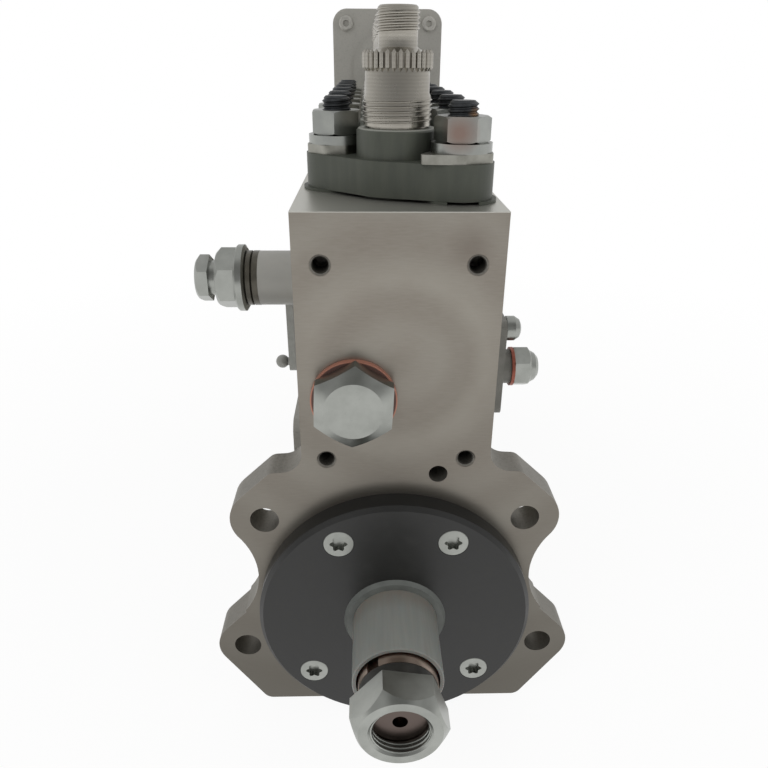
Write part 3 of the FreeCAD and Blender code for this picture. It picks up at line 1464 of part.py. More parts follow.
governor_shell = governor_slab("governor_shell", "0", "governor_start", "governor_length",
                               "governor_corner")
governor_room = governor_slab("governor_room", "governor_wall", "governor_start + governor_wall",
                              "governor_length", "governor_corner - governor_wall")
shaft_hole = rod("governor_shaft_hole", "journal / 2 + 0.8", "governor_wall + 2", "0",
                 "governor_start - 1", "0", "Y")
rack_hole = rod("governor_rack_hole", "rack / 2 + rack_fit", "governor_wall + 2", "-rack_across",
                "governor_start - 1", "rack_height", "Y")
lever_bore = rod("lever_bore", "lever_shaft / 2 + lever_fit", "governor_width / 2 + 6",
                 "-%s - 6" % governor_half, "lever_along", "lever_height", "X")
stop_bore = rod("stop_bore", "lever_shaft / 2 + lever_fit", "governor_width / 2 + 6",
                "0", "stop_along", "stop_height", "X")
lever_boss = rod("lever_boss", "lever_hub / 2", "5", "-%s - 5" % governor_half, "lever_along",
                 "lever_height", "X")
stop_boss = rod("stop_boss", "lever_hub / 2 - 1", "3", governor_half, "stop_along", "stop_height", "X")
compensator_middle = "(compensator_top - compensator_height / 2)"
can_middle = "(compensator_face + compensator_plate + compensator_can_length / 2)"
neck = block("compensator_neck",
             ("compensator_centre - compensator_neck_width / 2",
              "compensator_centre + compensator_neck_width / 2"),
             ("%s - compensator_neck_depth / 2" % can_middle, "%s + compensator_neck_depth / 2" % can_middle),
             ("governor_top", compensator_middle))
governor_corners = [
    ("%s%s - governor_screw_inset)" % (sign, "(" + governor_half), z)
    for sign in ("", "-")
    for z in ("governor_screw_inset - governor_low", "governor_top / 2 - governor_low / 2", "governor_top - 34")
]
governor_bosses = [
    rod("governor_boss_%d" % number, "6.5", "governor_length - governor_wall",
        x, "governor_start + governor_wall", z, "Y")
    for number, (x, z) in enumerate(governor_corners, 1)
]
governor_hollow = cut("governor_hollow", fuse("governor_form", [governor_shell, lever_boss, stop_boss]),
                      [governor_room])
governor_ribbed = fuse("governor_ribbed", [governor_hollow] + governor_bosses)
governor_bolt_holes = [
    rod("governor_bolt_hole_%d" % number, "governor_screw / 2", "16", x, "%s - 15" % governor_end, z, "Y")
    for number, (x, z) in enumerate(governor_corners, 1)
]
governor_housing = node(cut("governor_housing", governor_ribbed,
                            [shaft_hole, rack_hole, lever_bore, stop_bore] + governor_bolt_holes))
cover_slab = governor_slab("governor_cover_slab", "0", governor_end, "governor_cover", "governor_corner")
round_edges(cover_slab, "governor_cover_edge",
            lambda edge: edge.CenterOfMass.y > SIZES["governor_cover"] - 0.01
            and edge.BoundBox.YLength < 0.01, "governor_cover_corner")
cover_bolt_holes = [
    rod("cover_bolt_hole_%d" % number, "governor_screw / 2", "governor_cover + 2", x,
        "%s - 1" % governor_end, z, "Y")
    for number, (x, z) in enumerate(governor_corners, 1)
]
cover_seats = [
    rod("cover_seat_%d" % number, "governor_screw_head / 2 + 1", "governor_cover", x,
        "%s + governor_cover - governor_screw_head_height - 1" % governor_end, z, "Y")
    for number, (x, z) in enumerate(governor_corners, 1)
]
governor_cover = node(cut("governor_cover", cover_slab, cover_bolt_holes + cover_seats), "governor_rear_cover")
governor_screw_form = turned("governor_screw_form", "Y", [
    ("-governor_cover", "0"),
    ("-governor_cover", "governor_screw / 2"),
    ("0", "governor_screw / 2"),
    ("0", "governor_screw_head / 2"),
    ("governor_screw_head_height", "governor_screw_head / 2"),
    ("governor_screw_head_height", "0"),
])
governor_screw_socket = hexagon("governor_screw_socket", "5", "4", "0",
                                "governor_screw_head_height - 3", "0", "Y")
governor_screw_master = cut("governor_screw_master", governor_screw_form, [governor_screw_socket])
socket_screws = node(group("socket_screws", side_screws + [
    copy_of(governor_screw_master, "governor_screw_%d" % number, x,
            "%s + governor_cover - governor_screw_head_height - 1" % governor_end, z)
    for number, (x, z) in enumerate(governor_corners, 1)
]))


# Flyweight hub at the rear end of the camshaft

hub_disc = ring("hub_disc", "Y", "hub_start", "hub_start + hub_length", "hub / 2", "journal / 2")
weights = [
    block("weight_%s" % name, ("-weight_width / 2", "weight_width / 2"),
          ("hub_start", "hub_start + weight_length"), (low, high))
    for name, low, high in (
        ("upper", "weight_inner + 5", "weight_reach"),
        ("lower", "-weight_reach", "-weight_inner - 5"),
    )
]
governor_flyweights = node(fuse("governor_flyweights", [hub_disc] + weights))


# Boost compensator on top of the governor

can_start = "(compensator_face + compensator_plate)"
plate_low = "(compensator_top - compensator_height)"
left_side = "(compensator_centre - compensator_width / 2)"
right_side = "(compensator_centre + compensator_width / 2)"
compensator_corners = [
    (left_side, plate_low),
    (right_side, plate_low),
    (right_side, "compensator_top"),
    (left_side, "compensator_top"),
]
compensator_slab = slab("compensator_slab", "XZ_Plane", compensator_corners, "compensator_plate", True)
round_edges(compensator_slab, "compensator_rounding", lambda edge: runs_along(edge, ALONG_Y),
            "compensator_corner")
place(compensator_slab, y="compensator_face")
compensator_pad = rod("compensator_pad", "compensator_pad / 2", "compensator_pad_height",
                      "compensator_centre", "compensator_face - compensator_pad_height",
                      compensator_middle, "Y")
screw_places = [
    ("compensator_centre %s compensator_screw_spread / 2" % across,
     "%s %s compensator_screw_spread / 2" % (compensator_middle, up))
    for across in "+-" for up in "+-"
]
plate_holes = [
    rod("compensator_hole_%d" % number, "compensator_screw / 2", "compensator_plate + 2", x,
        "compensator_face - 1", z, "Y")
    for number, (x, z) in enumerate(screw_places, 1)
]
node(cut("compensator_plate_form", fuse("compensator_front", [compensator_slab, compensator_pad]),
         plate_holes), "compensator_plate")
can_slab = slab("compensator_can_slab", "XZ_Plane", compensator_corners, "compensator_can_length", True)
round_edges(can_slab, "compensator_can_rounding", lambda edge: runs_along(edge, ALONG_Y),
            "compensator_corner")
place(can_slab, y=can_start)
can_holes = [
    rod("compensator_can_hole_%d" % number, "compensator_screw / 2", "10", x, can_start, z, "Y")
    for number, (x, z) in enumerate(screw_places, 1)
]
node(cut("compensator_housing_form", fuse("compensator_blank", [can_slab, neck]), can_holes),
     "compensator_housing")
compensator_screw_form = turned("compensator_screw_form", "Y", [
    ("-compensator_screw_head_height", "0"),
    ("-compensator_screw_head_height", "compensator_screw_head / 2 - 0.8"),
    ("-compensator_screw_head_height + 1", "compensator_screw_head / 2"),
    ("0", "compensator_screw_head / 2"),
    ("0", "compensator_screw / 2"),
    ("compensator_plate + 8", "compensator_screw / 2"),
    ("compensator_plate + 8", "0"),
])
compensator_recess = taper("compensator_recess", "1.8", "1.5", "1.6", "0",
                           "-compensator_screw_head_height", "0", "Y")
compensator_screw_master = cut("compensator_screw_master", compensator_screw_form, [compensator_recess])
node(group("compensator_screws", [
    copy_of(compensator_screw_master, "compensator_screw_%d" % number, x, "compensator_face", z)
    for number, (x, z) in enumerate(screw_places, 1)
]))


# Control lever on the left and stop lever on the right

def lever(name, reach, thickness, shaft, ball):
    """A flat lever hanging from its shaft, built with its shaft on the X axis."""
    hub = rod(name + "_hub", "lever_hub / 2", thickness, "0", "0", "0", "X")
    tip = rod(name + "_tip", "lever_tip / 2", thickness, "0", "0", "-%s" % reach, "X")
    bar = slab(name + "_bar", "YZ_Plane", [
        ("-lever_hub / 2 + 1", "0"),
        ("-lever_tip / 2", "-%s" % reach),
        ("lever_tip / 2", "-%s" % reach),
        ("lever_hub / 2 - 1", "0"),
    ], thickness)
    return [hub, tip, bar, shaft] + ball


control_parts = lever(
    "control_lever", "lever_reach", "lever_thickness",
    rod("control_lever_shaft", "lever_shaft / 2", "lever_inner + lever_thickness - governor_width / 2 + governor_wall + 4",
        "-2", "0", "0", "X"),
    [
        rod("ball_neck", "ball_neck / 2", "ball_offset", "-ball_offset", "0", "-lever_reach", "X"),
    ],
)
ball_head = doc.addObject("Part::Sphere", "ball_head")
bind(ball_head, Radius="ball / 2")
place(ball_head, "-ball_offset", "0", "-lever_reach")
control_blank = fuse("control_lever_blank", control_parts + [ball_head])
node(copy_of(control_blank, "control_lever", "-lever_inner - lever_thickness", "lever_along", "lever_height"))
stop_parts = lever(
    "stop_lever", "stop_reach", "lever_thickness - 1",
    rod("stop_lever_shaft", "lever_shaft / 2", "stop_inner - governor_width / 2 + governor_wall + 6",
        "governor_width / 2 - governor_wall - 4 - stop_inner", "0", "0", "X"),
    [],
)
stop_blank = fuse("stop_lever_blank", stop_parts)
node(copy_of(stop_blank, "stop_lever", "stop_inner", "stop_along", "stop_height"))


for piece in (housing, bearing_cover, cover_screws, shaft_seal, bearing_rollers, camshaft, shaft_key,
              seal_sleeve, shaft_washer, shaft_spring_washer, shaft_nut):
    node(piece)
node(group("bearing_outer_races", [front_outer, rear_outer]))
node(group("bearing_inner_races", [front_inner, rear_inner]))

doc.recompute()
for item in doc.Objects:
    if "Invalid" in item.State or "Error" in item.State:
        raise RuntimeError("%s failed to build" % item.Name)
os.makedirs("parts", exist_ok=True)
for piece in NODES:
    shape = piece.Shape
    if shape.isNull() or not shape.isValid() or not shape.Solids:
        raise RuntimeError("%s has no sound solid" % piece.Label)
    shape.exportStep("parts/%s.step" % piece.Label)
print("%d nodes" % len(NODES))
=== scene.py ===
"""Finishes and fine forms of an in-line diesel injection pump, seen from its drive end.

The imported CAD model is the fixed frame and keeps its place. Each of its pieces gets the
finish of the real one, and what the CAD keeps plain is made here: screw threads, the
spline of the delivery valve holders, the recesses of the cover screws and wound springs.
Lengths are metres; sizes named in millimetres are turned into metres by MM.
"""

import json
import math

import bmesh
import bpy
from mathutils import Matrix, Vector


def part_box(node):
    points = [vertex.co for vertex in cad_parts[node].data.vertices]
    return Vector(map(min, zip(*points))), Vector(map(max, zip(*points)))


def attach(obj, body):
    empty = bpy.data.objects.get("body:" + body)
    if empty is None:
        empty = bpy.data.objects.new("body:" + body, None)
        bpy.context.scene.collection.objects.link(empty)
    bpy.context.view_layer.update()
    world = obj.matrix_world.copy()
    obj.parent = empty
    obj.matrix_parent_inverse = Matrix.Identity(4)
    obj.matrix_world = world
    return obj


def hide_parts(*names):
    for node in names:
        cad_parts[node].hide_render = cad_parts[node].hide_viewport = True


MM = 0.001

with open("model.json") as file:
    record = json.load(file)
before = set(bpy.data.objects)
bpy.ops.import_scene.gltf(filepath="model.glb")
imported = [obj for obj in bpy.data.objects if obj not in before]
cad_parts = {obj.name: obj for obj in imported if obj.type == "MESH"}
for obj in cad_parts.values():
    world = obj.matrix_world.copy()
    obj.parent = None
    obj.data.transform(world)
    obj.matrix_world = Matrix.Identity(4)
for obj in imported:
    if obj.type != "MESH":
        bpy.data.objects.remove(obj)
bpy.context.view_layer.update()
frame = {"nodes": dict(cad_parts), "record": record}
mounts = {mount["name"]: mount for mount in frame["record"]["mounts"]}

# Places and sizes that the frame gives

outlets = [Vector(m["pos_m"]) for name, m in sorted(mounts.items()) if name.startswith("outlet_")]
element_places = [Vector((p.x, p.y, 0.0)) for p in outlets]
holder_low, holder_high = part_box("delivery_valve_holders")
stud_low, stud_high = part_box("element_studs")
element_nut_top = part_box("element_nuts")[1].z
collar_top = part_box("flanged_barrels")[1].z
cover_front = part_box("bearing_cover")[0].y
drive_nut_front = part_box("shaft_nut")[0].y
housing_low, housing_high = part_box("housing")

STUD_RADIUS = 5.0 * MM
STUD_PITCH = 1.5 * MM
# Studs stand in pairs across each element, turned a little so that the flanges fit the pitch
stud_across = stud_high.x - STUD_RADIUS
stud_along = 12.3 * MM
stud_places = [
    Vector((side * stud_across, p.y - side * stud_along, 0.0))
    for p in element_places for side in (1, -1)
]


# Finishes

def linear(code):
    """The linear colour of an sRGB hex code."""
    parts = [int(code[i:i + 2], 16) / 255 for i in (1, 3, 5)]
    return [p / 12.92 if p <= 0.04045 else ((p + 0.055) / 1.055) ** 2.4 for p in parts] + [1.0]


def add(tree, kind, feeds=None, **settings):
    """Add a node with its settings; each feed is a value for a socket or a link to it."""
    made = tree.nodes.new(kind)
    for setting, value in settings.items():
        setattr(made, setting, value)
    for socket, value in (feeds or {}).items():
        if isinstance(value, bpy.types.NodeSocket):
            tree.links.new(value, made.inputs[socket])
        else:
            made.inputs[socket].default_value = value
    return made


def finish(name, **values):
    """A new material whose shader takes plain values; returns it, its tree and shader."""
    made = bpy.data.materials.new(name)
    made.use_nodes = True
    shader = made.node_tree.nodes["Principled BSDF"]
    for socket, value in values.items():
        shader.inputs[socket.replace("_", " ").title().replace("Ior", "IOR")].default_value = value
    return made, made.node_tree, shader


def per(size_mm):
    """Texture scale that repeats a pattern once in so many millimetres."""
    return 1000.0 / size_mm


def blend(tree, share, first, second):
    """Mix two colours, each a hex code or a link, by a share that a node gives."""
    pick = [linear(c) if isinstance(c, str) else c for c in (first, second)]
    return add(tree, "ShaderNodeMix", {0: share, 6: pick[0], 7: pick[1]}, data_type="RGBA").outputs[2]


def maths(tree, operation, first, second=0.0):
    """A sum on two numbers, each plain or a link."""
    return add(tree, "ShaderNodeMath", {0: first, 1: second}, operation=operation).outputs[0]


def span(tree, value, low, high, to_low=0.0, to_high=1.0):
    """Map a value from one range to another and hold it at the ends."""
    feeds = {0: value, 1: low, 2: high, 3: to_low, 4: to_high}
    return add(tree, "ShaderNodeMapRange", feeds, clamp=True).outputs[0]


def noise(tree, place, size_mm, detail=2.0, rough=0.5):
    """Soft patches of about the size named."""
    feeds = {"Vector": place, "Scale": per(size_mm), "Detail": detail, "Roughness": rough}
    return add(tree, "ShaderNodeTexNoise", feeds).outputs["Fac"]


def rings(tree, place, pitch_mm, axis, wander=0.0, shape="RINGS"):
    """Tool marks: rings round an axis, or bands along it, one in each pitch."""
    feeds = {"Vector": place, "Scale": per(pitch_mm) / 20 * math.pi, "Distortion": wander,
             "Detail": 2.0, "Detail Scale": 1.0}
    kinds = {"wave_type": shape, "rings_direction": axis} if shape == "RINGS" else {
        "wave_type": shape, "bands_direction": axis}
    return add(tree, "ShaderNodeTexWave", feeds, wave_profile="SIN", **kinds).outputs["Fac"]


def near(tree, place, spot, radius_mm):
    """One at a spot, falling to nothing at a radius round it."""
    away = add(tree, "ShaderNodeVectorMath", {0: place, 1: spot}, operation="DISTANCE").outputs["Value"]
    return span(tree, away, 0.2 * radius_mm * MM, radius_mm * MM, 1.0, 0.0)


def roughen(tree, shader, height, strength, depth_mm):
    """Give the surface a fine relief."""
    feeds = {"Strength": strength, "Distance": depth_mm * MM, "Height": height}
    tree.links.new(add(tree, "ShaderNodeBump", feeds).outputs["Normal"], shader.inputs["Normal"])


def object_place(tree):
    """Object coordinates, which stay on a piece when it moves."""
    return add(tree, "ShaderNodeTexCoord").outputs["Object"]


def milled_cast_aluminium():
    """Pressure-tight sand casting in an aluminium alloy, milled on its joint faces.

    The milled faces are smooth with faint arcs from a face cutter and fine straight
    scratches; the cast skin is rougher, darker and mottled from blasting.
    """
    made, tree, shader = finish("milled_cast_aluminium", metallic=0.85)
    place = object_place(tree)
    parts = add(tree, "ShaderNodeSeparateXYZ", {0: place}).outputs
    skin_depth = 0.25 * MM
    front = maths(tree, "LESS_THAN", parts["Y"], skin_depth)
    top = maths(tree, "GREATER_THAN", parts["Z"], housing_high.z - skin_depth)
    milled = maths(tree, "MAXIMUM", front, top)

    # The face cutter ran round a point above the shaft and left a paler band at its reach
    cutter_height, cutter_reach, band_width = 106 * MM, 31 * MM, 7 * MM
    cutter = add(tree, "ShaderNodeMapping", {0: place, 1: (0.0, 0.0, -cutter_height)}).outputs[0]
    arcs = rings(tree, cutter, 11.0, "Y", 1.6)
    away = add(tree, "ShaderNodeVectorMath", {0: cutter}, operation="LENGTH").outputs["Value"]
    swept = span(tree, away, cutter_reach - band_width, cutter_reach)
    outside = span(tree, away, cutter_reach, cutter_reach + band_width, 1.0, 0.0)
    band = maths(tree, "MULTIPLY", swept, outside)
    brushed = add(tree, "ShaderNodeMapping", {0: place, 3: (0.12, 1.0, 1.0)}).outputs[0]
    scratches = noise(tree, brushed, 0.55, 3.0, 0.6)
    clouds = noise(tree, place, 26.0, 2.0, 0.5)
    face = blend(tree, span(tree, arcs, 0.1, 0.9), "#8b857c", "#948f86")
    face = blend(tree, span(tree, band, 0.0, 1.0, 0.0, 0.4), face, "#a29d93")
    face = blend(tree, span(tree, clouds, 0.35, 0.7, 0.0, 0.4), face, "#81786f")
    face = blend(tree, span(tree, scratches, 0.3, 0.75, 0.0, 0.28), face, "#a39f96")
    # A darker spot near the top of the front face is painted shade
    painted_shade_spot = near(tree, place, (23 * MM, 0.0, 147 * MM), 9.0)
    face = blend(tree, span(tree, painted_shade_spot, 0.0, 1.0, 0.0, 0.4), face, "#6f655d")
    # The colour darkens towards the foot and fades upwards
    low_down = span(tree, parts["Z"], -45 * MM, 125 * MM, 0.85, 0.0)
    face = blend(tree, low_down, face, "#605d56")
    # Painted light: the milled top face is given a lighter colour than the front face of the same metal
    face = blend(tree, top, face, "#c4c3bb")

    grain = noise(tree, place, 1.1, 3.0, 0.6)
    patches = noise(tree, place, 14.0, 3.0, 0.6)
    skin = blend(tree, span(tree, patches, 0.3, 0.75), "#918e87", "#9c9890")
    skin = blend(tree, span(tree, grain, 0.45, 0.75, 0.0, 0.45), skin, "#716d66")
    # The cast skin also darkens towards the foot
    skin = blend(tree, maths(tree, "MULTIPLY", low_down, 0.6), skin, "#6a6760")
    tree.links.new(blend(tree, milled, skin, face), shader.inputs["Base Color"])
    tree.links.new(span(tree, milled, 0.0, 1.0, 0.56, 0.36), shader.inputs["Roughness"])
    fine = span(tree, scratches, 0.0, 1.0, 0.0, 0.05)
    coarse = span(tree, grain, 0.0, 1.0, 0.0, 1.0)
    height = add(tree, "ShaderNodeMix", {0: milled, 2: coarse, 3: fine}, data_type="FLOAT").outputs[0]
    roughen(tree, shader, height, 0.5, 0.25)
    return made


def blasted_aluminium():
    """Die casting in an aluminium alloy, shot blasted: an even matt grey with a fine grain."""
    made, tree, shader = finish("blasted_aluminium", metallic=0.6, roughness=0.6)
    place = object_place(tree)
    grain = noise(tree, place, 0.9, 3.0, 0.6)
    patches = noise(tree, place, 22.0, 2.0, 0.5)
    colour = blend(tree, span(tree, patches, 0.3, 0.7), "#aeaca6", "#b5b3ac")
    colour = blend(tree, span(tree, grain, 0.5, 0.8, 0.0, 0.3), colour, "#7d7c77")
    tree.links.new(colour, shader.inputs["Base Color"])
    roughen(tree, shader, grain, 0.3, 0.15)
    return made


def black_cover_finish():
    """Turned steel with a black conversion coat: satin, with faint rings and pale dust."""
    made, tree, shader = finish("black_coated_turned_steel", metallic=0.0, roughness=0.36)
    place = object_place(tree)
    dust = noise(tree, place, 7.0, 4.0, 0.65)
    colour = blend(tree, span(tree, dust, 0.5, 0.8, 0.0, 0.5), "#1e1e1d", "#2b2a28")
    tree.links.new(colour, shader.inputs["Base Color"])
    tree.links.new(span(tree, dust, 0.3, 0.75, 0.33, 0.46), shader.inputs["Roughness"])
    roughen(tree, shader, rings(tree, place, 0.8, "Y"), 0.08, 0.05)
    return made


def phosphated_steel():
    """Forged and turned steel, oiled and phosphated: black-green, matt, with a painted highlight along the
    collar's rim.
    """
    made, tree, shader = finish("oiled_phosphated_steel", metallic=0.25, roughness=0.5)
    place = object_place(tree)
    streaks = add(tree, "ShaderNodeMapping", {0: place, 3: (1.0, 1.0, 0.15)}).outputs[0]
    wear = noise(tree, streaks, 5.0, 4.0, 0.6)
    colour = blend(tree, span(tree, wear, 0.35, 0.75), "#474a43", "#52554c")
    height = add(tree, "ShaderNodeSeparateXYZ", {0: place}).outputs["Z"]
    # Painted highlight: a bright band along the collar's top edge
    worn = span(tree, height, collar_top - 0.45 * MM, collar_top - 0.15 * MM, 0.0, 0.7)
    colour = blend(tree, worn, colour, "#a4a59d")
    tree.links.new(colour, shader.inputs["Base Color"])
    roughen(tree, shader, noise(tree, place, 0.5, 2.0), 0.2, 0.08)
    return made


def black_thread_finish():
    """Rolled studs with the same coat, nearly black, with a touch of rust on one of them."""
    made, tree, shader = finish("black_rolled_steel", metallic=0.3, roughness=0.42)
    place = object_place(tree)
    wear = noise(tree, place, 2.5, 3.0, 0.6)
    colour = blend(tree, span(tree, wear, 0.4, 0.75), "#26282a", "#3f4245")
    rust = near(tree, place, rusty_spot, 3.0)
    colour = blend(tree, rust, colour, "#7d6044")
    tree.links.new(colour, shader.inputs["Base Color"])
    return made


def turned_steel():
    """Ground and turned alloy steel, bare: bright with close turning marks round it."""
    made, tree, shader = finish("bright_turned_steel", metallic=1.0)
    place = object_place(tree)
    marks = rings(tree, place, 0.55, "Z", 1.5, "BANDS")
    clouds = noise(tree, place, 6.0, 3.0)
    colour = blend(tree, span(tree, marks, 0.2, 0.9), "#aaa69d", "#b1ada4")
    colour = blend(tree, span(tree, clouds, 0.45, 0.75, 0.0, 0.3), colour, "#958f84")
    tree.links.new(colour, shader.inputs["Base Color"])
    tree.links.new(span(tree, clouds, 0.3, 0.7, 0.24, 0.32), shader.inputs["Roughness"])
    roughen(tree, shader, marks, 0.01, 0.01)
    return made


def ground_steel():
    """Hardened and ground steel inside the pump; the bare shaft end is browner and darker."""
    made, tree, shader = finish("hardened_ground_steel", metallic=1.0, roughness=0.28)
    place = object_place(tree)
    clouds = noise(tree, place, 9.0, 2.0)
    along = add(tree, "ShaderNodeSeparateXYZ", {0: place}).outputs["Y"]
    colour = blend(tree, clouds, "#9c988f", "#b9b6ae")
    for start, brown in ((-39 * MM, "#c2b0a3"), (-50 * MM, "#655a55")):
        colour = blend(tree, span(tree, along, start, start + 0.5 * MM, 1.0, 0.0), colour, brown)
    tree.links.new(colour, shader.inputs["Base Color"])
    return made


def zinc_plate(name, low, high, brown_at=None):
    """Zinc plate with a clear passivate: cool bright grey, cloudy, with small dull specks."""
    made, tree, shader = finish(name, metallic=1.0)
    place = object_place(tree)
    clouds = noise(tree, place, 7.0, 3.0, 0.55)
    specks = noise(tree, place, 0.8, 2.0, 0.5)
    colour = blend(tree, span(tree, clouds, 0.3, 0.7), low, high)
    colour = blend(tree, span(tree, specks, 0.68, 0.76, 0.0, 0.2), colour, "#74777a")
    if brown_at is not None:
        patch = near(tree, place, brown_at, 7.5)
        colour = blend(tree, span(tree, patch, 0.0, 1.0, 0.0, 0.8), colour, "#8a7065")
    tree.links.new(colour, shader.inputs["Base Color"])
    tree.links.new(span(tree, clouds, 0.3, 0.7, 0.28, 0.34), shader.inputs["Roughness"])
    roughen(tree, shader, specks, 0.015, 0.02)
    return made


def grey_polyamide():
    """Moulded protective tube: grey, faintly streaked along, browner where it meets the cover."""
    made, tree, shader = finish("moulded_grey_polyamide", roughness=0.36, subsurface_weight=0.15,
                                subsurface_scale=0.004)
    place = object_place(tree)
    along = add(tree, "ShaderNodeSeparateXYZ", {0: place}).outputs["Y"]
    drawn = add(tree, "ShaderNodeMapping", {0: place, 3: (1.0, 0.06, 1.0)}).outputs[0]
    streaks = noise(tree, drawn, 1.6, 3.0, 0.6)
    colour = blend(tree, span(tree, streaks, 0.3, 0.75), "#7a7c78", "#82847f")
    colour = blend(tree, span(tree, along, -20 * MM, -12 * MM, 0.0, 0.5), colour, "#6b5f54")
    tree.links.new(colour, shader.inputs["Base Color"])
    return made


def copper_ring():
    """Annealed copper ring of the rack plug: painted shade on its face, a painted highlight along its edge.
    """
    made, tree, shader = finish("copper_ring_painted_shade_and_highlight", metallic=0.5, roughness=0.42)
    low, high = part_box("rack_plug_washer")
    middle = (low + high) / 2.0
    edge = (high.x - low.x) / 2.0
    flat = add(tree, "ShaderNodeVectorMath", {0: object_place(tree), 1: (1.0, 0.0, 1.0)},
               operation="MULTIPLY").outputs[0]
    away = add(tree, "ShaderNodeVectorMath", {0: flat, 1: (middle.x, 0.0, middle.z)},
               operation="DISTANCE").outputs["Value"]
    # The ring's face is painted dark as painted shade under the plug, and its thin bright rim is a painted
    # highlight
    colour = blend(tree, span(tree, away, edge - 0.6 * MM, edge - 0.2 * MM), "#604842", "#c08672")
    tree.links.new(colour, shader.inputs["Base Color"])
    return made


def plain(name, low, high, size_mm, relief=0.0, relief_mm=0.5, **values):
    """A finish of two close colours in soft patches, with a fine relief if asked."""
    made, tree, shader = finish(name, **values)
    place = object_place(tree)
    patches = noise(tree, place, size_mm, 3.0, 0.55)
    tree.links.new(blend(tree, span(tree, patches, 0.3, 0.7), low, high), shader.inputs["Base Color"])
    if relief:
        roughen(tree, shader, noise(tree, place, relief_mm, 2.0), relief, 0.1)
    return made


# Brown spots of the first right element: on the stud's end and on the front of its nut
first_stud = stud_places[0]
rusty_spot = (first_stud.x + 3.6 * MM, first_stud.y - 3.4 * MM, 184.6 * MM)
brown_spot = (first_stud.x - 2.0 * MM, first_stud.y - 8.5 * MM, 179.8 * MM)

CAST = milled_cast_aluminium()
BLASTED = blasted_aluminium()
BLACK = black_cover_finish()
PHOSPHATE = phosphated_steel()
STUDS = black_thread_finish()
TURNED = turned_steel()
GROUND = ground_steel()
ZINC = zinc_plate("clear_zinc_plate", "#999b96", "#a9aba6")
ZINC_NUTS = zinc_plate("clear_zinc_plate_nuts", "#919390", "#a2a49f", brown_spot)
# Sheared spring steel plate, plated: dull and slightly warm
PLATE = plain("sheared_plated_steel", "#8e8d85", "#a5a49c", 4.0, 0.15, 0.6, metallic=1.0, roughness=0.4)
# Annealed copper seal rings: dull red-brown
COPPER = plain("annealed_copper", "#9a5545", "#b06a58", 5.0, 0.1, 0.6, metallic=0.5, roughness=0.42)
PLUG_RING = copper_ring()
# Spring steel rings of the overflow valve, oiled: brown-grey
RINGS = plain("oiled_spring_rings", "#4d4a42", "#5f5b51", 4.0, 0.1, 0.5, metallic=0.5, roughness=0.35)
# Levers of pressed steel, plated and dulled: grey
LEVERS = plain("dulled_lever_steel", "#8b8b86", "#989893", 6.0, 0.1, 0.6, metallic=0.4, roughness=0.45)
# Raised head screws of the compensator, dulled: nearly the colour of the casting
DULL_SCREWS = plain("dulled_zinc_screws", "#adaba5", "#bdbbb4", 3.0, 0.05, 0.5, metallic=0.6, roughness=0.5)
SLEEVE = grey_polyamide()
# Protective tube of the overflow valve: the same grey polyamide, cleaner
VALVE_TUBE = plain("clean_grey_polyamide", "#989792", "#a19f99", 12.0, 0.0, 0.6, roughness=0.4)
# Rubber covered seal ring: grey and matt
RUBBER = plain("grey_seal_rubber", "#585b58", "#656864", 6.0, 0.05, 0.5, roughness=0.5)
# Black oxide spring steel: dark, oily shine
OXIDE = plain("black_oxide_steel", "#2b2b29", "#3b3a37", 4.0, 0.1, 0.5, metallic=0.4, roughness=0.35)
# Casting of the feed pump: grey, coarse grain
PUMP_CASTING = plain("grey_pump_casting", "#7b7a74", "#8b8983", 8.0, 0.4, 1.0, metallic=0.3, roughness=0.55)
# Oil-tempered spring wire: brown-grey with a shine
WIRE = plain("oil_tempered_wire", "#5a5750", "#6d6a62", 5.0, 0.0, 0.5, metallic=0.9, roughness=0.35)

WEARS = [
    (CAST, "housing"),
    (BLASTED, "governor_housing governor_rear_cover compensator_plate compensator_housing "
              "blanking_plate"),
    (BLACK, "bearing_cover"),
    (PHOSPHATE, "flanged_barrels flange_shims"),
    (GROUND, "camshaft bearing_outer_races bearing_inner_races bearing_rollers tappets "
             "tappet_rollers tappet_pins shaft_key spring_seats control_rack delivery_valves"),
    (ZINC, "rack_plug overflow_valve_body overflow_cap shaft_nut feed_pump_plug feed_pump_vent "
           "socket_screws"),
    (LEVERS, "control_lever stop_lever"),
    (DULL_SCREWS, "compensator_screws"),
    (ZINC_NUTS, "element_nuts element_washers"),
    (PLATE, "lock_plates"),
    (COPPER, "feed_pump_washer"),
    (PLUG_RING, "rack_plug_washer"),
    (SLEEVE, "shaft_sleeve"),
    (VALVE_TUBE, "overflow_sleeve"),
    (RUBBER, "shaft_seal"),
    (OXIDE, "shaft_spring_washer shaft_washer governor_flyweights"),
    (RINGS, "overflow_rings"),
    (PUMP_CASTING, "feed_pump_body"),
]
GROUND_BY_SETS = ("plunger_", "control_sleeve_")
wears = {name: material for material, names in WEARS for name in names.split()}
wears.update({name: GROUND for name in frame["nodes"] if name.startswith(GROUND_BY_SETS)})
for name, material in wears.items():
    frame["nodes"][name].data.materials.clear()
    frame["nodes"][name].data.materials.append(material)


# Making pieces

def new_object(name, data, material=None):
    """An object in the scene for a mesh, with its material if one is given."""
    made = bpy.data.objects.new(name, data)
    bpy.context.scene.collection.objects.link(made)
    if material is not None:
        data.materials.append(material)
    return made


def point_cloud(name, places):
    """A mesh of loose points, one for each place."""
    data = bpy.data.meshes.new(name)
    data.from_pydata([tuple(p) for p in places], [], [])
    return new_object(name, data)


